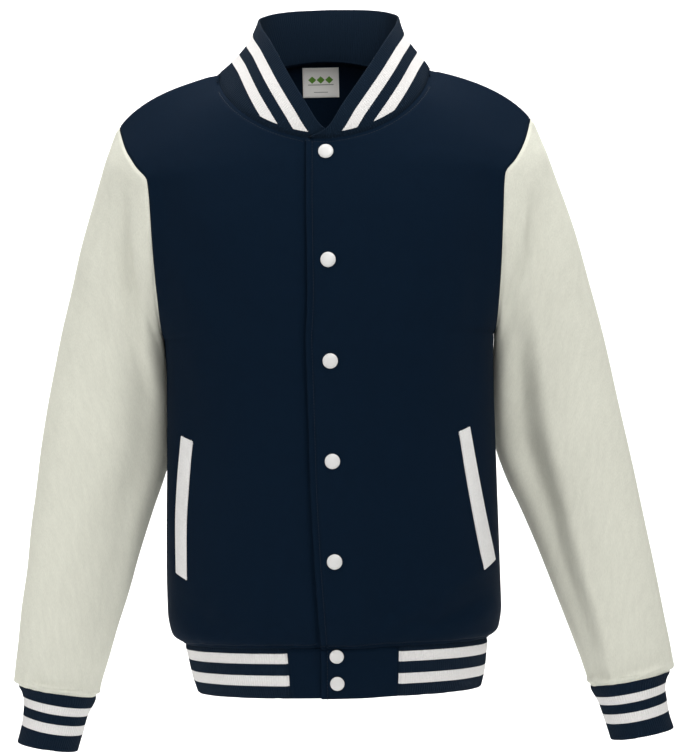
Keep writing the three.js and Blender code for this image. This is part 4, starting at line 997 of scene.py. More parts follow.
def panel_columns(rows, angles, hems):
    """The columns of a panel as (across at the hem, across and up at the top), closer beside both ends."""
    last = len(hems) - 1
    corner = find_across(rows, NECK_HALF, SHOULDER)

    def tops(at):
        across, up = neck_place(rows, np.interp(at, np.arange(len(angles)), angles))
        past = np.clip((at - len(angles) + 1) / SHOULDER_STEPS, 0, 1)
        on_shoulder = at > len(angles) - 1
        return np.where(on_shoulder, corner + (1 - corner) * past, across), np.where(on_shoulder, SHOULDER, up)

    index = np.arange(last + 1, dtype=float)
    coarse_top = plain_body(rows, *tops(index))
    coarse_hem = plain_body(rows, hems, 0)
    width = (lengths(coarse_top) + lengths(coarse_hem)) / 2
    starts_at_edge = angles[0] < 0
    places = spaced(width[-1], PANEL_STEP, BESIDE_FOLD if starts_at_edge else (), BESIDE_SEAM)
    at = np.interp(places, width, index)
    # The neckline's corner is kept, so that the border turns where the shoulder seam starts
    corner_at = len(angles) - 1
    at[np.abs(at - corner_at).argmin()] = corner_at
    across, up = tops(at)
    return np.interp(at, index, hems), across, up, at <= corner_at + 1e-6


def grain(rows, across, up):
    """How far places of a panel lie from its first place across and from the hem seam, along the cloth."""
    steps, levels = np.linspace(across.min(), 1, 60), np.linspace(0, SHOULDER, 90)
    lattice = plain_body(rows, steps[:, None], levels[None, :])
    runs = np.stack([lengths(lattice, 0), lengths(lattice, 1)], -1)
    i = (across - steps[0]) / (steps[1] - steps[0])
    j = up / (levels[1] - levels[0])
    i0 = np.clip(i.astype(int), 0, len(steps) - 2)
    j0 = np.clip(j.astype(int), 0, len(levels) - 2)
    s, t = (i - i0)[..., None], (j - j0)[..., None]
    low = runs[i0, j0] * (1 - s) + runs[i0 + 1, j0] * s
    high = runs[i0, j0 + 1] * (1 - s) + runs[i0 + 1, j0 + 1] * s
    return np.moveaxis(low * (1 - t) + high * t, -1, 0)


def panel_grid(rows, side, columns):
    """Points of a panel, a column of them for each place, from the hem seam to the neckline or shoulder.

    With them come their places along and up the cloth, with the grain upright.
    """
    hem_across, top_across, top_up, _ = columns
    level = spaced(SHOULDER, PANEL_STEP, BESIDE_SEAM, BESIDE_SEAM)[None, :]
    share = np.clip((level - UNDERARM) / (SHOULDER - UNDERARM), 0, 1)
    up = np.where(share > 0, UNDERARM + (top_up[:, None] - UNDERARM) * share, level)
    across = hem_across[:, None] + (top_across - hem_across)[:, None] * up / top_up[:, None]
    along, rise = grain(rows, across, up)
    return body(rows, side * across, up), np.stack([side * along, rise], -1)


def hem_places(tab_end):
    """Places across the hem from a front edge past the centre to its tab's end and on to the side seam."""
    count = len(FRONT_ANGLES) + SHOULDER_STEPS - 1
    tab_steps = count - SIDE_STEPS
    start, end = -find_across(FRONT_ROWS, FRONT_EDGE, 0), find_across(FRONT_ROWS, tab_end, 0)
    return np.concatenate([np.linspace(start, end, tab_steps + 1), np.linspace(end, 1, SIDE_STEPS + 1)[1:]]), tab_steps


def hem_grid(rows, side, across, levels):
    p = plain_body(rows, side * np.asarray(across)[:, None], levels[None, :])
    p[..., 0] += sway(p)
    return p


def dress_panel(cloth, neck, sizes):
    """The seams, puckers and stitch grooves that the fronts and the back share."""
    _, hem = cloth.border("bottom")
    top = cloth.points[:, -1]
    neck_line, shoulder_lines = top[neck], [top[: neck.argmax() + 1], top[len(neck) - neck[::-1].argmax() - 1 :]]
    near_neck = distance_to(cloth.points, neck_line)
    cloth.seam(hem)
    cloth.seam(near_neck / 1.5)
    for line in shoulder_lines:
        if len(line) > 1:
            cloth.seam(distance_to(cloth.points, line))
    stitch = sizes.seam_stitch / MM
    cloth.groove(near_neck, sizes.neck_stitch / MM, 0.35)
    cloth.groove(hem, stitch)
    # Swells of the cloth, and puckers where it is held by the rib hem and the neckline
    cloth.outer_sink += 0.45 * waver(cloth.points, 110, 3) * ease(np.minimum(hem, near_neck) / 40)
    cloth.outer_sink += 0.55 * waver(cloth.points * (1, 1, 0.2), 26, 5) * bump(hem - 8, 9)
    cloth.outer_sink += 0.22 * waver(cloth.points, 17, 9) * bump(near_neck - 6, 6)
    return hem, near_neck


def ring_points(rings, side, degrees):
    """Points of the rings of a sleeve or cuff: a line for each of the degrees round it."""
    angle = np.radians(degrees)[:, None]
    ox, oz, ix, iz, y, half = rings.T
    x = (ox + ix) / 2 + (ox - ix) / 2 * np.cos(angle)
    z = (oz + iz) / 2 + (oz - iz) / 2 * np.cos(angle)
    p = np.stack([side * x, y - half * np.sin(angle), z], -1)
    p[..., 0] += SLEEVE_SWING * ease((-z - 330) / 370)
    p[..., 0] += OUTER_SWING * ease((-z - 60) / 120) * (0.5 + 0.5 * np.cos(angle))
    return p


def armhole(side, degrees):
    """Points of an armhole: over the front from the shoulder to the underarm (180), then up the back."""
    fine = np.linspace(SHOULDER, UNDERARM, 400)
    front, back = body(FRONT_ROWS, side, fine), body(BACK_ROWS, side, fine)[::-1]
    line = np.empty((len(degrees), 3))
    for half, points in ((0, front), (180, back)):
        run = lengths(points)
        picked = (degrees >= half) & (degrees < half + 180)
        at = (degrees[picked] - half) / 180 * run[-1]
        line[picked] = np.stack([np.interp(at, run, points[:, a]) for a in range(3)], -1)
    return line


def evened(lines, step, start, end):
    """Places along a bundle of lines, given by a table for each, about a step apart."""
    count, rings = lines.shape[:2]
    table = np.concatenate([np.arange(rings)[:, None], lines.swapaxes(0, 1).reshape(rings, -1)], 1).astype(float)
    fine = np.linspace(0, rings - 1, 400)
    dense = between(table, fine).reshape(400, count, 3)
    run = lengths(dense).mean(1)
    at = np.interp(spaced(run[-1], step, start, end), run, fine)
    return between(table, at).reshape(len(at), count, 3).swapaxes(0, 1), at / (rings - 1)


def ribbed_grid(points, turned=False, closed=False):
    """A band of rib knit: the same cloth with an even number of columns for each rib."""
    loop = np.concatenate([points, points[:1]]) if closed else points
    pitch = bpy.context.scene.jacket_sizes.rib_pitch / MM
    steps = round(lengths(loop[..., :3]).mean(1)[-1] / pitch) * RIB_STEPS
    run = lengths(loop[..., :3]).mean(1)
    places = np.linspace(0, run[-1], steps + 1)[: steps if closed else steps + 1]
    k = np.clip(np.searchsorted(run, places, side="right") - 1, 0, len(run) - 2)
    share = ((places - run[k]) / (run[k + 1] - run[k]))[:, None, None]
    even = loop[k] * (1 - share) + loop[k + 1] * share
    cloth = Cloth(even[..., :3], turned, closed)
    if points.shape[-1] > 3:
        cloth.lift = even[..., 3]
    cloth.places, cloth.total = places, run[-1]
    return cloth


def front_cloth(side):
    hems, _ = hem_places(TAB_END[side])
    columns = panel_columns(FRONT_ROWS, FRONT_ANGLES, hems)
    points, grain_places = panel_grid(FRONT_ROWS, side, columns)
    cloth = Cloth(points, turned=side < 0)
    cloth.grain = grain_places if side > 0 else grain_places[::-1]
    cloth.neck = columns[3] if side > 0 else columns[3][::-1]
    return cloth


def back_cloth():
    count = len(NECK_ANGLES) + SHOULDER_STEPS - 1
    columns = panel_columns(BACK_ROWS, NECK_ANGLES, np.arange(count + 1) / count)
    (right, right_grain), (left, left_grain) = (panel_grid(BACK_ROWS, side, columns) for side in (-1, 1))
    cloth = Cloth(np.concatenate([right[::-1], left[1:]]), turned=True)
    cloth.grain = np.concatenate([right_grain[::-1], left_grain[1:]])[::-1]
    cloth.neck = np.concatenate([columns[3][::-1], columns[3][1:]])[::-1]
    return cloth


def tab_cloth(side):
    hems, steps = hem_places(TAB_END[side])
    edge_line = hem_grid(HEM_FRONT, side, hems[: steps + 1], np.array([HEM_HEIGHT]))
    width = lengths(edge_line)[-1, 0]
    places = spaced(width, 3, BESIDE_FOLD, BESIDE_SEAM)
    across = np.interp(places, np.linspace(0, width, steps + 1), hems[: steps + 1])
    levels = spaced(HEM_HEIGHT, 3, BESIDE_FOLD, BESIDE_SEAM)
    return Cloth(hem_grid(HEM_FRONT, side, across, levels), turned=side < 0)


def hem_cloth():
    levels = spaced(HEM_HEIGHT, 3, RIB_FOLD, RIB_SEAM)
    fine = np.linspace(0, 1, 160)
    tabs = {side: find_across(FRONT_ROWS, TAB_END[side], 0) for side in TAB_END}
    walk = [
        hem_grid(HEM_FRONT, 1, tabs[1] + (1 - tabs[1]) * fine, levels),
        hem_grid(HEM_BACK, 1, 1 - fine, levels)[1:],
        hem_grid(HEM_BACK, -1, fine, levels)[1:],
        hem_grid(HEM_FRONT, -1, 1 - (1 - tabs[-1]) * fine, levels)[1:],
    ]
    return ribbed_grid(np.concatenate(walk))


def collar_cloth():
    fronts = np.concatenate([np.linspace(-EDGE_ANGLE, 60, 130)[:-1], np.linspace(60, 90, 40)])
    backs = np.linspace(90, 0, 130)[1:]
    walk = [(-1, FRONT_ROWS, fronts, fronts / 90), (-1, BACK_ROWS, backs, 2 - backs / 90)]
    walk += [(1, BACK_ROWS, backs[::-1][1:], 2 - backs[::-1][1:] / 90), (1, FRONT_ROWS, fronts[::-1], fronts[::-1] / 90)]
    w = spaced(1, 0.045, (0.012, 0.026, 0.045), (0.002, 0.007, 0.015, 0.03))[None, :, None]
    parts = []
    for side, rows, degrees, turn in walk:
        across, up = neck_place(rows, degrees)
        base = body(rows, side * across, up)[:, None]
        x, y, z, bow = np.moveaxis(between(COLLAR_TOP, np.maximum(turn, COLLAR_TOP[0, 0])), -1, 0)
        top = np.stack([side * x, y, z], -1)[:, None]
        out = unit((base + top - (0, 20, 0)) * (1, 1, 0))
        lean = COLLAR_LEAN * ease((z + 60) / 120)
        p = base + (top - base) * w + out * (bow[:, None, None] * 4 * w * (1 - w))
        p[..., 0] += lean[:, None] * w[..., 0] ** 0.45
        upper = (side > 0) & (turn < 0.7)
        lift = np.where(upper, lift_at(base[:, 0, 0]), 0)[:, None, None] + np.zeros_like(p[..., :1])
        parts.append(np.concatenate([p, lift], -1))
    return ribbed_grid(np.concatenate(parts)[::-1])


def sleeve_cloth(side):
    degrees = np.arange(0, 360, 2.6)
    lines = np.concatenate([armhole(side, degrees)[:, None], ring_points(SLEEVE_RINGS, side, degrees)], 1)
    points, along = evened(lines, PANEL_STEP, BESIDE_SEAM, BESIDE_SEAM)
    normals = normals_of(points, True) * side
    q = degrees[:, None] / DEGREES_PER_LENGTH + 0 * along
    sink = 0
    for a1, r1, a2, r2, width, depth in SLEEVE_FOLDS + SLEEVE_CREASES[side]:
        fold = (a1, r1 / DEGREES_PER_LENGTH, a2, r2 / DEGREES_PER_LENGTH, width)
        sink = sink + depth * near_fold(along[None, :] + 0 * q, q, fold)
    held = ease(along / 0.1) * ease((1 - along) / 0.06)
    return Cloth(points - normals * (sink * held)[..., None], turned=side < 0, closed=True)


def cuff_cloth(side):
    lines = ring_points(CUFF_RINGS, side, np.arange(0, 360, 2.0))
    points, _ = evened(lines, 2.6, RIB_SEAM, RIB_FOLD)
    return ribbed_grid(points, turned=side < 0, closed=True)


def cloth_of(name):
    """A cut piece of cloth by its name. The first call cuts the whole pattern and sews it together."""
    if not pattern:
        pattern["back"], pattern["hem_rib"], pattern["collar_rib"] = back_cloth(), hem_cloth(), collar_cloth()
        for word, side in SIDES:
            pattern["front_" + word] = front_cloth(side)
            pattern["hem_tab_" + word] = tab_cloth(side)
            pattern["sleeve_" + word] = sleeve_cloth(side)
            pattern["cuff_" + word] = cuff_cloth(side)
        sew(list(pattern.values()))
    return pattern[name]


class JACKET_OT_fronts(bpy.types.Operator):
    """Cuts and sews both fronts, the wearer's left one lapped over the right"""

    bl_idname = "jacket.fronts"
    bl_label = "Fronts"

    def execute(self, context):
        sizes = context.scene.jacket_sizes
        wall = sizes.cloth_wall / MM
        for name, side in SIDES:
            cloth = cloth_of("front_" + name)
            neck = cloth.neck
            edge_side, seam_side = ("start", "end") if side > 0 else ("end", "start")
            hem, near_neck = dress_panel(cloth, neck, sizes)
            edge = cloth.border(edge_side)[1]
            cloth.seam(cloth.border(seam_side)[1])
            cloth.groove(edge, sizes.edge_stitch / MM)
            cloth.fold(edge, wall)
            if side > 0:
                cloth.lift = lift_at(cloth.points[..., 0])
            else:
                lap = distance_to(cloth.points, cloth_of("front_left").along("start", cloth_of("front_left").points))
                cloth.outer_sink += sizes.lap_trough / MM * bump(lap, LAP_REACH) * ease((edge - 12) / 12)
            mesh, _ = wall_mesh("front_" + name, cloth, wall)
            piece = add_piece("front_" + name, mesh, [material_for("Navy fleece back"), material_for("Navy fleece face")])
            paint_outside(piece)
            declare(piece, ["front_" + name])
            stitch = sizes.seam_stitch / MM
            neck_points, neck_normals = cloth.line_at(near_neck, sizes.neck_stitch / MM, "top")
            lines = [
                cloth.line_at(edge, sizes.edge_stitch / MM, edge_side),
                (neck_points[neck], neck_normals[neck]),
                cloth.line_at(hem, stitch, "bottom"),
            ]
            stitches = stitched(f"front_{name}_stitches", lines, "Navy thread")
            declare_cloth(cloth)
        return {"FINISHED"}


def paint_outside(piece):
    """Gives the faces that are marked as outside the piece's second finish."""
    mesh = piece.data
    outside = np.empty(len(mesh.polygons), bool)
    mesh.attributes["outside"].data.foreach_get("value", outside)
    mesh.polygons.foreach_set("material_index", outside.astype(np.int32))


class JACKET_OT_back(bpy.types.Operator):
    """Cuts and sews the back, from one side seam to the other"""

    bl_idname = "jacket.back"
    bl_label = "Back"

    def execute(self, context):
        sizes = context.scene.jacket_sizes
        wall = sizes.cloth_wall / MM
        cloth = cloth_of("back")
        neck = cloth.neck
        hem, near_neck = dress_panel(cloth, neck, sizes)
        for side in ("start", "end"):
            cloth.seam(cloth.border(side)[1])
        mesh, _ = wall_mesh("back", cloth, wall)
        piece = add_piece("back", mesh, [material_for("Navy fleece back"), material_for("Navy fleece face")])
        paint_outside(piece)
        declare(piece, ["back"])
        stitch = sizes.seam_stitch / MM
        neck_points, neck_normals = cloth.line_at(near_neck, sizes.neck_stitch / MM, "top")
        lines = [(neck_points[neck], neck_normals[neck]), cloth.line_at(hem, stitch, "bottom")]
        stitches = stitched("back_stitches", lines, "Navy thread")
        declare_cloth(cloth)
        return {"FINISHED"}


class JACKET_OT_hem_tabs(bpy.types.Operator):
    """Sews the plain fleece tabs that end the hem below each front"""

    bl_idname = "jacket.hem_tabs"
    bl_label = "Hem tabs"

    def execute(self, context):
        sizes = context.scene.jacket_sizes
        wall = sizes.cloth_wall / MM
        for name, side in SIDES:
            cloth = cloth_of("hem_tab_" + name)
            edge_side, seam_side = ("start", "end") if side > 0 else ("end", "start")
            edge, bottom = cloth.border(edge_side)[1], cloth.border("bottom")[1]
            cloth.seam(cloth.border("top")[1])
            cloth.seam(cloth.border(seam_side)[1])
            cloth.groove(edge, sizes.edge_stitch / MM)
            cloth.fold(np.minimum(edge, bottom), wall)
            cloth.outer_sink += 0.3 * waver(cloth.points, 30, 21) * ease(np.minimum(edge, bottom) / 8)
            if side > 0:
                cloth.lift = lift_at(cloth.points[..., 0])
            node = "hem_tab_" + name
            mesh, _ = wall_mesh(node, cloth, wall)
            piece = add_piece(node, mesh, [material_for("Navy fleece back"), material_for("Navy fleece face")])
            paint_outside(piece)
            declare(piece, [node])
            lines = [cloth.line_at(edge, sizes.edge_stitch / MM, edge_side)]
            stitches = stitched(node + "_stitches", lines, "Navy thread")
            declare_cloth(cloth)
        return {"FINISHED"}


def ribbed(name, cloth, wall, total, places, v, kind, from_seam=None):
    """A band of rib knit: a wall of cloth whose ribs are raised by a node tree."""
    sizes = bpy.context.scene.jacket_sizes
    mesh, _ = wall_mesh(name, cloth, wall, u=places, v=v)
    if from_seam is not None:
        values = np.tile(from_seam.ravel(), 2).astype(np.float32) * MM
        mesh.attributes.new("from seam", "FLOAT", "POINT").data.foreach_set("value", values)
    piece = add_piece(name, mesh, [material_for("Plain rib knit")])
    pitch = total / round(total / (sizes.rib_pitch / MM)) * MM
    make_plain(piece, rib_tree(material_for("Striped rib knit, " + kind)), {"Rib pitch": pitch, "Rib depth": sizes.rib_depth})
    return declare(piece, [name])


class JACKET_OT_hem_rib(bpy.types.Operator):
    """Knits the striped hem band, from one tab round the back to the other"""

    bl_idname = "jacket.hem_rib"
    bl_label = "Hem rib"

    def execute(self, context):
        sizes = context.scene.jacket_sizes
        wall = sizes.rib_wall / MM
        cloth = cloth_of("hem_rib")
        places, total = cloth.places, cloth.total
        down = lengths(cloth.points[:, ::-1], 1)[:, ::-1]
        cloth.seam(down)
        cloth.seam(places[:, None] + np.zeros_like(down))
        cloth.seam(total - places[:, None] + np.zeros_like(down))
        cloth.fold(lengths(cloth.points, 1), wall)
        cloth.outer_sink += 0.35 * waver(cloth.points * (1, 1, 0.3), 34, 31)
        cloth.lift = np.where(cloth.points[..., 0] > 0, lift_at(cloth.points[..., 0]), 0)
        piece = ribbed("hem_rib", cloth, wall, total, places, down, "hem")
        declare_cloth(cloth)
        return {"FINISHED"}


class JACKET_OT_collar(bpy.types.Operator):
    """Knits the striped standing collar, folded along its top edge"""

    bl_idname = "jacket.collar"
    bl_label = "Collar"

    def execute(self, context):
        sizes = context.scene.jacket_sizes
        wall = sizes.rib_wall / MM
        cloth = cloth_of("collar_rib")
        places, total = cloth.places, cloth.total
        bottom = cloth.border("bottom")[1]
        top_edge = cloth.border("top")[1]
        cloth.seam(bottom / 1.3)
        cloth.fold(np.minimum(top_edge, np.minimum(places[:, None], total - places[:, None])), wall)
        cloth.outer_sink += 0.3 * waver(cloth.points, 40, 41) * ease(top_edge / 10)
        edge = cloth.points[:, -1]
        edge = edge[edge[:, 2] > STRIPE_END_Z]
        ahead, behind = unit(edge[0] - edge[40]) * 90, unit(edge[-1] - edge[-41]) * 90
        from_edge = distance_to(cloth.points, np.vstack([edge[:1] + ahead, edge[::3], edge[-1:] + behind]))
        piece = ribbed("collar_rib", cloth, wall, total, places, from_edge, "collar", bottom)
        declare_cloth(cloth)
        return {"FINISHED"}


class JACKET_OT_sleeves(bpy.types.Operator):
    """Sews both sleeves, hanging from their armholes with a slight bend at the elbow"""

    bl_idname = "jacket.sleeves"
    bl_label = "Sleeves"

    def execute(self, context):
        sizes = context.scene.jacket_sizes
        wall = sizes.cloth_wall / MM
        for name, side in SIDES:
            cloth = cloth_of("sleeve_" + name)
            top, bottom = cloth.border("bottom")[1], cloth.border("top")[1]
            cloth.seam(top)
            cloth.seam(bottom)
            cloth.outer_sink += 0.5 * waver(cloth.points, 90, 51 + side) * ease(np.minimum(top, bottom) / 40)
            cloth.outer_sink += 1.1 * waver(cloth.points * (1, 1, 0.2), 18, 55) * bump(bottom - 8, 8)
            cloth.outer_sink -= 1.2 * bump(bottom - 5.5, 3.2)
            cloth.groove(bottom, sizes.seam_stitch / MM * 0.5)
            node = "sleeve_" + name
            mesh, _ = wall_mesh(node, cloth, wall)
            piece = add_piece(node, mesh, [material_for("Cream fleece back"), material_for("Cream fleece face")])
            paint_outside(piece)
            declare(piece, [node])
            declare_cloth(cloth)
        return {"FINISHED"}


class JACKET_OT_cuffs(bpy.types.Operator):
    """Knits the striped cuffs, folded along their open ends"""

    bl_idname = "jacket.cuffs"
    bl_label = "Cuffs"

    def execute(self, context):
        sizes = context.scene.jacket_sizes
        wall = sizes.rib_wall / MM
        for name, side in SIDES:
            cloth = cloth_of("cuff_" + name)
            places, total = cloth.places, cloth.total
            down = lengths(cloth.points, 1)
            up = down[:, -1:] - down
            cloth.seam(down)
            cloth.fold(up, wall)
            cloth.outer_sink += 0.3 * waver(cloth.points, 36, 61)
            node = "cuff_" + name
            piece = ribbed(node, cloth, wall, total, places, down, "cuff")
            declare_cloth(cloth)
        return {"FINISHED"}


def on_surface(tree, place):
    spot, normal, _, _ = tree.find_nearest(Vector(place) * MM)
    return np.array(spot) / MM, np.array(normal)


class JACKET_OT_welts(bpy.types.Operator):
    """Lays the slanted pocket welts on the fronts and stitches them down"""

    bl_idname = "jacket.welts"
    bl_label = "Pocket welts"

    def execute(self, context):
        sizes = context.scene.jacket_sizes
        wall = sizes.welt_wall / MM
        for name, side in SIDES:
            tree = surface_of("front_" + name)
            offs = spaced(WELT_WIDTH, 2, (0.12, 0.4, 0.85, 1.5), (0.12, 0.4, 0.85, 1.5)) - WELT_WIDTH / 2
            table = np.array(WELTS[side], float)
            run = 150
            rows = between(table, 3 * (1 - spaced(run, 2.6, (0.12, 0.4, 0.85, 1.5), (0.12, 0.4, 0.85, 1.5)) / run))
            grid, facing = np.empty((len(offs), len(rows), 3)), np.empty((len(offs), len(rows), 3))
            for r, (x, z, share) in enumerate(rows):
                middle, normal = seen_from(tree, (x, -400, z), (0, 1, 0))
                for towards in (-1, 1):
                    place, face, last = middle, normal, 0.0
                    picked = [k for k in range(len(offs)) if offs[k] * towards >= 0]
                    for k in sorted(picked, key=lambda c: abs(offs[c])):
                        right = unit(np.cross((0, 0, 1), face) * -1)
                        up = unit(np.cross(face, right) * -1)
                        if right[0] < 0:
                            right = -right
                        if up[2] < 0:
                            up = -up
                        step = (offs[k] - last) * share
                        place, face = on_surface(tree, place + right * step + up * (side * WELT_SLOPE * step))
                        last = offs[k]
                        grid[k, r], facing[k, r] = place, face
            cloth = Cloth(grid)
            cloth.normals = unit(facing)
            edges = np.minimum.reduce([cloth.border(b)[1] for b in ("start", "end", "bottom", "top")])
            cloth.lift += wall + 0.15
            cloth.outer_sink = rounded(edges, 2 * wall) * 0.9
            cloth.outer_sink += 0.4 * bump(edges - 2.6, 0.8)
            node = "welt_" + name
            mesh, _ = wall_mesh(node, cloth, wall)
            piece = add_piece(node, mesh, [material_for("White fleece welt")])
            declare(piece, [node])
            lines = [cloth.line_at(cloth.border(b)[1], 2.6, b) for b in ("start", "end", "bottom", "top")]
            stitches = stitched(node + "_stitches", lines, "White thread")
            declare_cloth(cloth)
        return {"FINISHED"}


class JACKET_OT_snaps(bpy.types.Operator):
    """Presses the snap caps onto the upper front and its tab"""

    bl_idname = "jacket.snaps"
    bl_label = "Snaps"

    def execute(self, context):
        profile = np.array(SNAP_PROFILE[1:-1])
        turns = np.radians(np.arange(0, 360, 7.5))
        rings = [(r * math.cos(a), r * math.sin(a), h) for r, h in profile for a in turns]
        count = len(turns)
        points = [(0, 0, 0), *rings, (0, 0, 1)]
        faces = [(0, 1 + (k + 1) % count, 1 + k) for k in range(count)]
        for ring in range(len(profile) - 1):
            a, b = 1 + ring * count, 1 + (ring + 1) * count
            faces += [(a + k, a + (k + 1) % count, b + (k + 1) % count, b + k) for k in range(count)]
        last = 1 + (len(profile) - 1) * count
        faces += [(last + k, last + (k + 1) % count, len(points) - 1) for k in range(count)]
        cap_mesh = bpy.data.meshes.new("cap")
        cap_mesh.from_pydata(points, [], faces)
        cap_mesh.shade_smooth()
        cap = add_piece("cap", cap_mesh, [])
        places, normals, radii = [], [], []
        trees = {name: surface_of(name) for name in ("front_left", "hem_tab_left")}
        for z, radius in SNAPS:
            tree = trees["hem_tab_left" if z < -617 else "front_left"]
            spot, normal = seen_from(tree, (0.5, -400, z), (0, 1, 0))
            around = [on_surface(tree, spot + radius * np.array([math.cos(a), 0, math.sin(a)])) for a in turns[::4]]
            cloth = cloth_of("hem_tab_left" if z < -617 else "front_left")
            nearest = np.linalg.norm(cloth.points - spot, axis=-1) < 2 * radius
            normal = unit(cloth.normals[nearest].mean(0))
            seat = max((p - spot) @ normal for p, _ in around)
            places.append((spot + normal * max(seat, 0) * 0.5) * MM)
            normals.append(normal)
            radii.append(radius * MM)
        mesh = bpy.data.meshes.new("snap_caps")
        mesh.from_pydata([tuple(p) for p in places], [], [])
        mesh.attributes.new("face", "FLOAT_VECTOR", "POINT").data.foreach_set("vector", np.array(normals, np.float32).ravel())
        mesh.attributes.new("cap radius", "FLOAT", "POINT").data.foreach_set("value", np.array(radii, np.float32))
        piece = add_piece("snap_caps", mesh, [])
        make_plain(piece, snap_tree(cap, material_for("White acetal")), {"Cap height": context.scene.jacket_sizes.snap_height + 0.35 * MM})
        piece.data.shade_smooth()
        bpy.data.objects.remove(cap)
        declare(piece, [f"snap_{k}" for k in range(1, len(SNAPS) + 1)])
        return {"FINISHED"}


class JACKET_OT_neck(bpy.types.Operator):
    """Sews the tape over the neck seam inside the back, and the label below it"""

    bl_idname = "jacket.neck"
    bl_label = "Neck tape and label"

    def execute(self, context):
        back = cloth_of("back")
        neck = back.neck
        neckline = back.points[neck, -1]
        near_neck = distance_to(back.points, neckline)
        inside = back.inside(context.scene.jacket_sizes.cloth_wall / MM)
        drops = spaced(TAPE[1] - TAPE[0], 1.4, (0.1, 0.4), (0.1, 0.4)) + TAPE[0]
        columns = np.flatnonzero(neck)[TAPE_ENDS:-TAPE_ENDS]
        grid = np.stack([back.line_at(near_neck, drop, "top", inside)[0][columns] for drop in drops[::-1]], 1)
        cloth = Cloth(grid, turned=True)
        edges = np.minimum(cloth.border("bottom")[1], cloth.border("top")[1])
        cloth.lift += 1.0 + 0.15
        cloth.outer_sink = rounded(edges, 1.4)
        mesh, _ = wall_mesh("neck_tape", cloth, 1.0)
        piece = add_piece("neck_tape", mesh, [material_for("Navy fleece face")])
        declare(piece, ["neck_tape"])
        declare_cloth(cloth)

        tree = surface_of("back")
        top_z = neckline[np.abs(neckline[:, 0] - LABEL["x"]).argmin(), 2] - LABEL["below"]
        xs = LABEL["x"] + spaced(LABEL["width"], 2, (0.1, 0.3), (0.1, 0.3)) - LABEL["width"] / 2
        zs = top_z - LABEL["drop"] + spaced(LABEL["drop"], 2, (0.1, 0.3), (0.1, 0.3))
        spots = [[seen_from(tree, (x, 0, z), (0, 1, 0)) for z in zs] for x in xs]
        cloth = Cloth(np.array([[s[0] for s in column] for column in spots]))
        cloth.lift += 0.8 + 0.12
        cloth.outer_sink = rounded(np.minimum.reduce([cloth.border(b)[1] for b in ("start", "end", "bottom", "top")]), 0.8)
        mesh, _ = wall_mesh("neck_label", cloth, 0.8)
        piece = add_piece("neck_label", mesh, [material_for("Woven label")])
        declare(piece, ["neck_label"])
        declare_cloth(cloth)
        return {"FINISHED"}


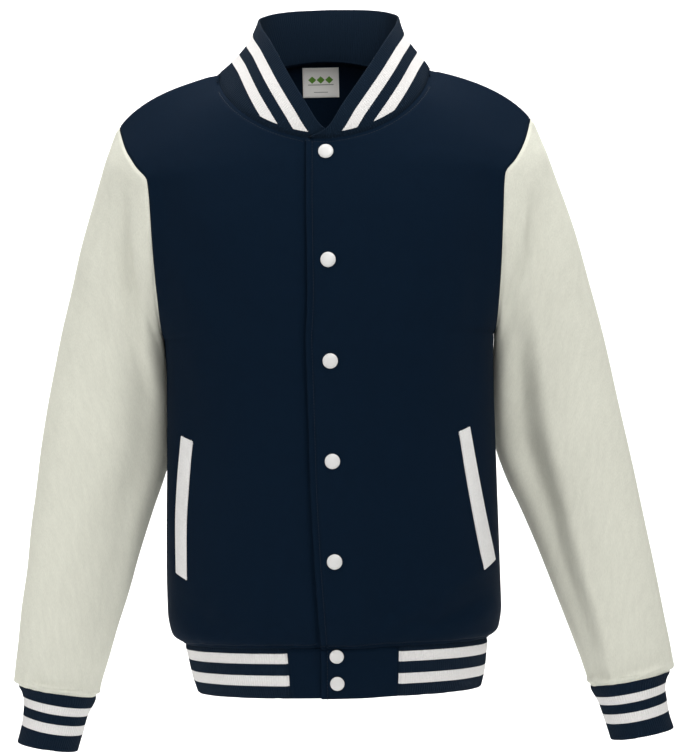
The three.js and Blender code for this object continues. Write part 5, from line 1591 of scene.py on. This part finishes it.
class JACKET_OT_stage(bpy.types.Operator):
    """Sets the pale floor and backdrop, the soft studio lights and the camera"""

    bl_idname = "jacket.stage"
    bl_label = "Stage"

    def execute(self, context):
        scene = context.scene
        floor, wall, radius, half, height = -1.2, 2.4, 0.9, 6.0, 5.0
        profile = [(-7.0, floor), (wall - radius, floor)]
        profile += [
            (wall - radius + radius * math.sin(a), floor + radius - radius * math.cos(a))
            for a in np.linspace(0, math.pi / 2, 25)[1:]
        ]
        profile.append((wall, height))
        points = [(x, y, z) for x in (-half, half) for y, z in profile]
        count = len(profile)
        faces = [(k, k + count, k + count + 1, k + 1) for k in range(count - 1)]
        mesh = bpy.data.meshes.new("backdrop")
        mesh.from_pydata(points, [], faces)
        mesh.shade_smooth()
        backdrop = add_piece("backdrop", mesh, [])
        paper, _, shader = new_material("White studio paper", 0.9)
        shader.inputs["Base Color"].default_value = linear("#F7F7F7")
        mesh.materials.append(paper)

        world = bpy.data.worlds.new("Studio")
        world.use_nodes = True
        world.node_tree.nodes["Background"].inputs["Color"].default_value = linear("#FFFFFF")
        world.node_tree.nodes["Background"].inputs["Strength"].default_value = 0.14
        scene.world = world
        lamps = [
            ("Key", (0.9, -1.5, 1.3), (0, 0, -0.25), 1.0, 35),
            ("Fill", (-2.3, -0.9, 0.1), (-0.25, 0, -0.35), 1.2, 22),
            ("Front", (0.2, -3.2, 0.8), (0, 0, -0.2), 1.1, 22),
            ("Top", (0, -0.4, 1.9), (0, 0, -0.2), 1.2, 24),
            ("Backdrop", (0, 1.2, 1.8), (0, 2.4, -0.5), 2.5, 115),
        ]
        for name, place, target, size, power in lamps:
            light = bpy.data.lights.new(name, "AREA")
            light.size = size
            light.energy = power
            lamp = bpy.data.objects.new(name, light)
            lamp.location = place
            lamp.rotation_euler = (Vector(target) - Vector(place)).to_track_quat("-Z", "Y").to_euler()
            scene.collection.objects.link(lamp)

        scene.view_settings.view_transform = "Standard"
        lens = bpy.data.cameras.new("Camera")
        lens.lens = 129.87
        lens.sensor_width = 36
        lens.clip_end = 100
        camera = bpy.data.objects.new("Camera", lens)
        camera.location = (0.0104, -3.0, -0.3302)
        camera.rotation_euler = (math.pi / 2, math.radians(1.25), 0)
        scene.collection.objects.link(camera)
        scene.camera = camera
        return {"FINISHED"}


OPERATORS = (
    JACKET_OT_fronts,
    JACKET_OT_back,
    JACKET_OT_hem_tabs,
    JACKET_OT_hem_rib,
    JACKET_OT_collar,
    JACKET_OT_sleeves,
    JACKET_OT_cuffs,
    JACKET_OT_welts,
    JACKET_OT_snaps,
    JACKET_OT_neck,
    JACKET_OT_stage,
)


class JACKET_PT_panel(bpy.types.Panel):
    bl_idname = "JACKET_PT_panel"
    bl_label = "Varsity jacket"
    bl_space_type = "VIEW_3D"
    bl_region_type = "UI"
    bl_category = "Jacket"

    def draw(self, context):
        for group in (context.scene.jacket_sizes, context.scene.jacket_colours):
            for name in group.__annotations__:
                self.layout.prop(group, name)
        for operator in OPERATORS:
            self.layout.operator(operator.bl_idname)


def register():
    for kind in (JacketSizes, JacketColours, *OPERATORS, JACKET_PT_panel):
        bpy.utils.register_class(kind)
    bpy.types.Scene.jacket_sizes = PointerProperty(type=JacketSizes)
    bpy.types.Scene.jacket_colours = PointerProperty(type=JacketColours)


def unregister():
    del bpy.types.Scene.jacket_colours
    del bpy.types.Scene.jacket_sizes
    for kind in reversed((JacketSizes, JacketColours, *OPERATORS, JACKET_PT_panel)):
        bpy.utils.unregister_class(kind)


def main():
    register()
    for operator in OPERATORS:
        group, name = operator.bl_idname.split(".")
        getattr(getattr(bpy.ops, group), name)()


if __name__ == "__main__":
    main()
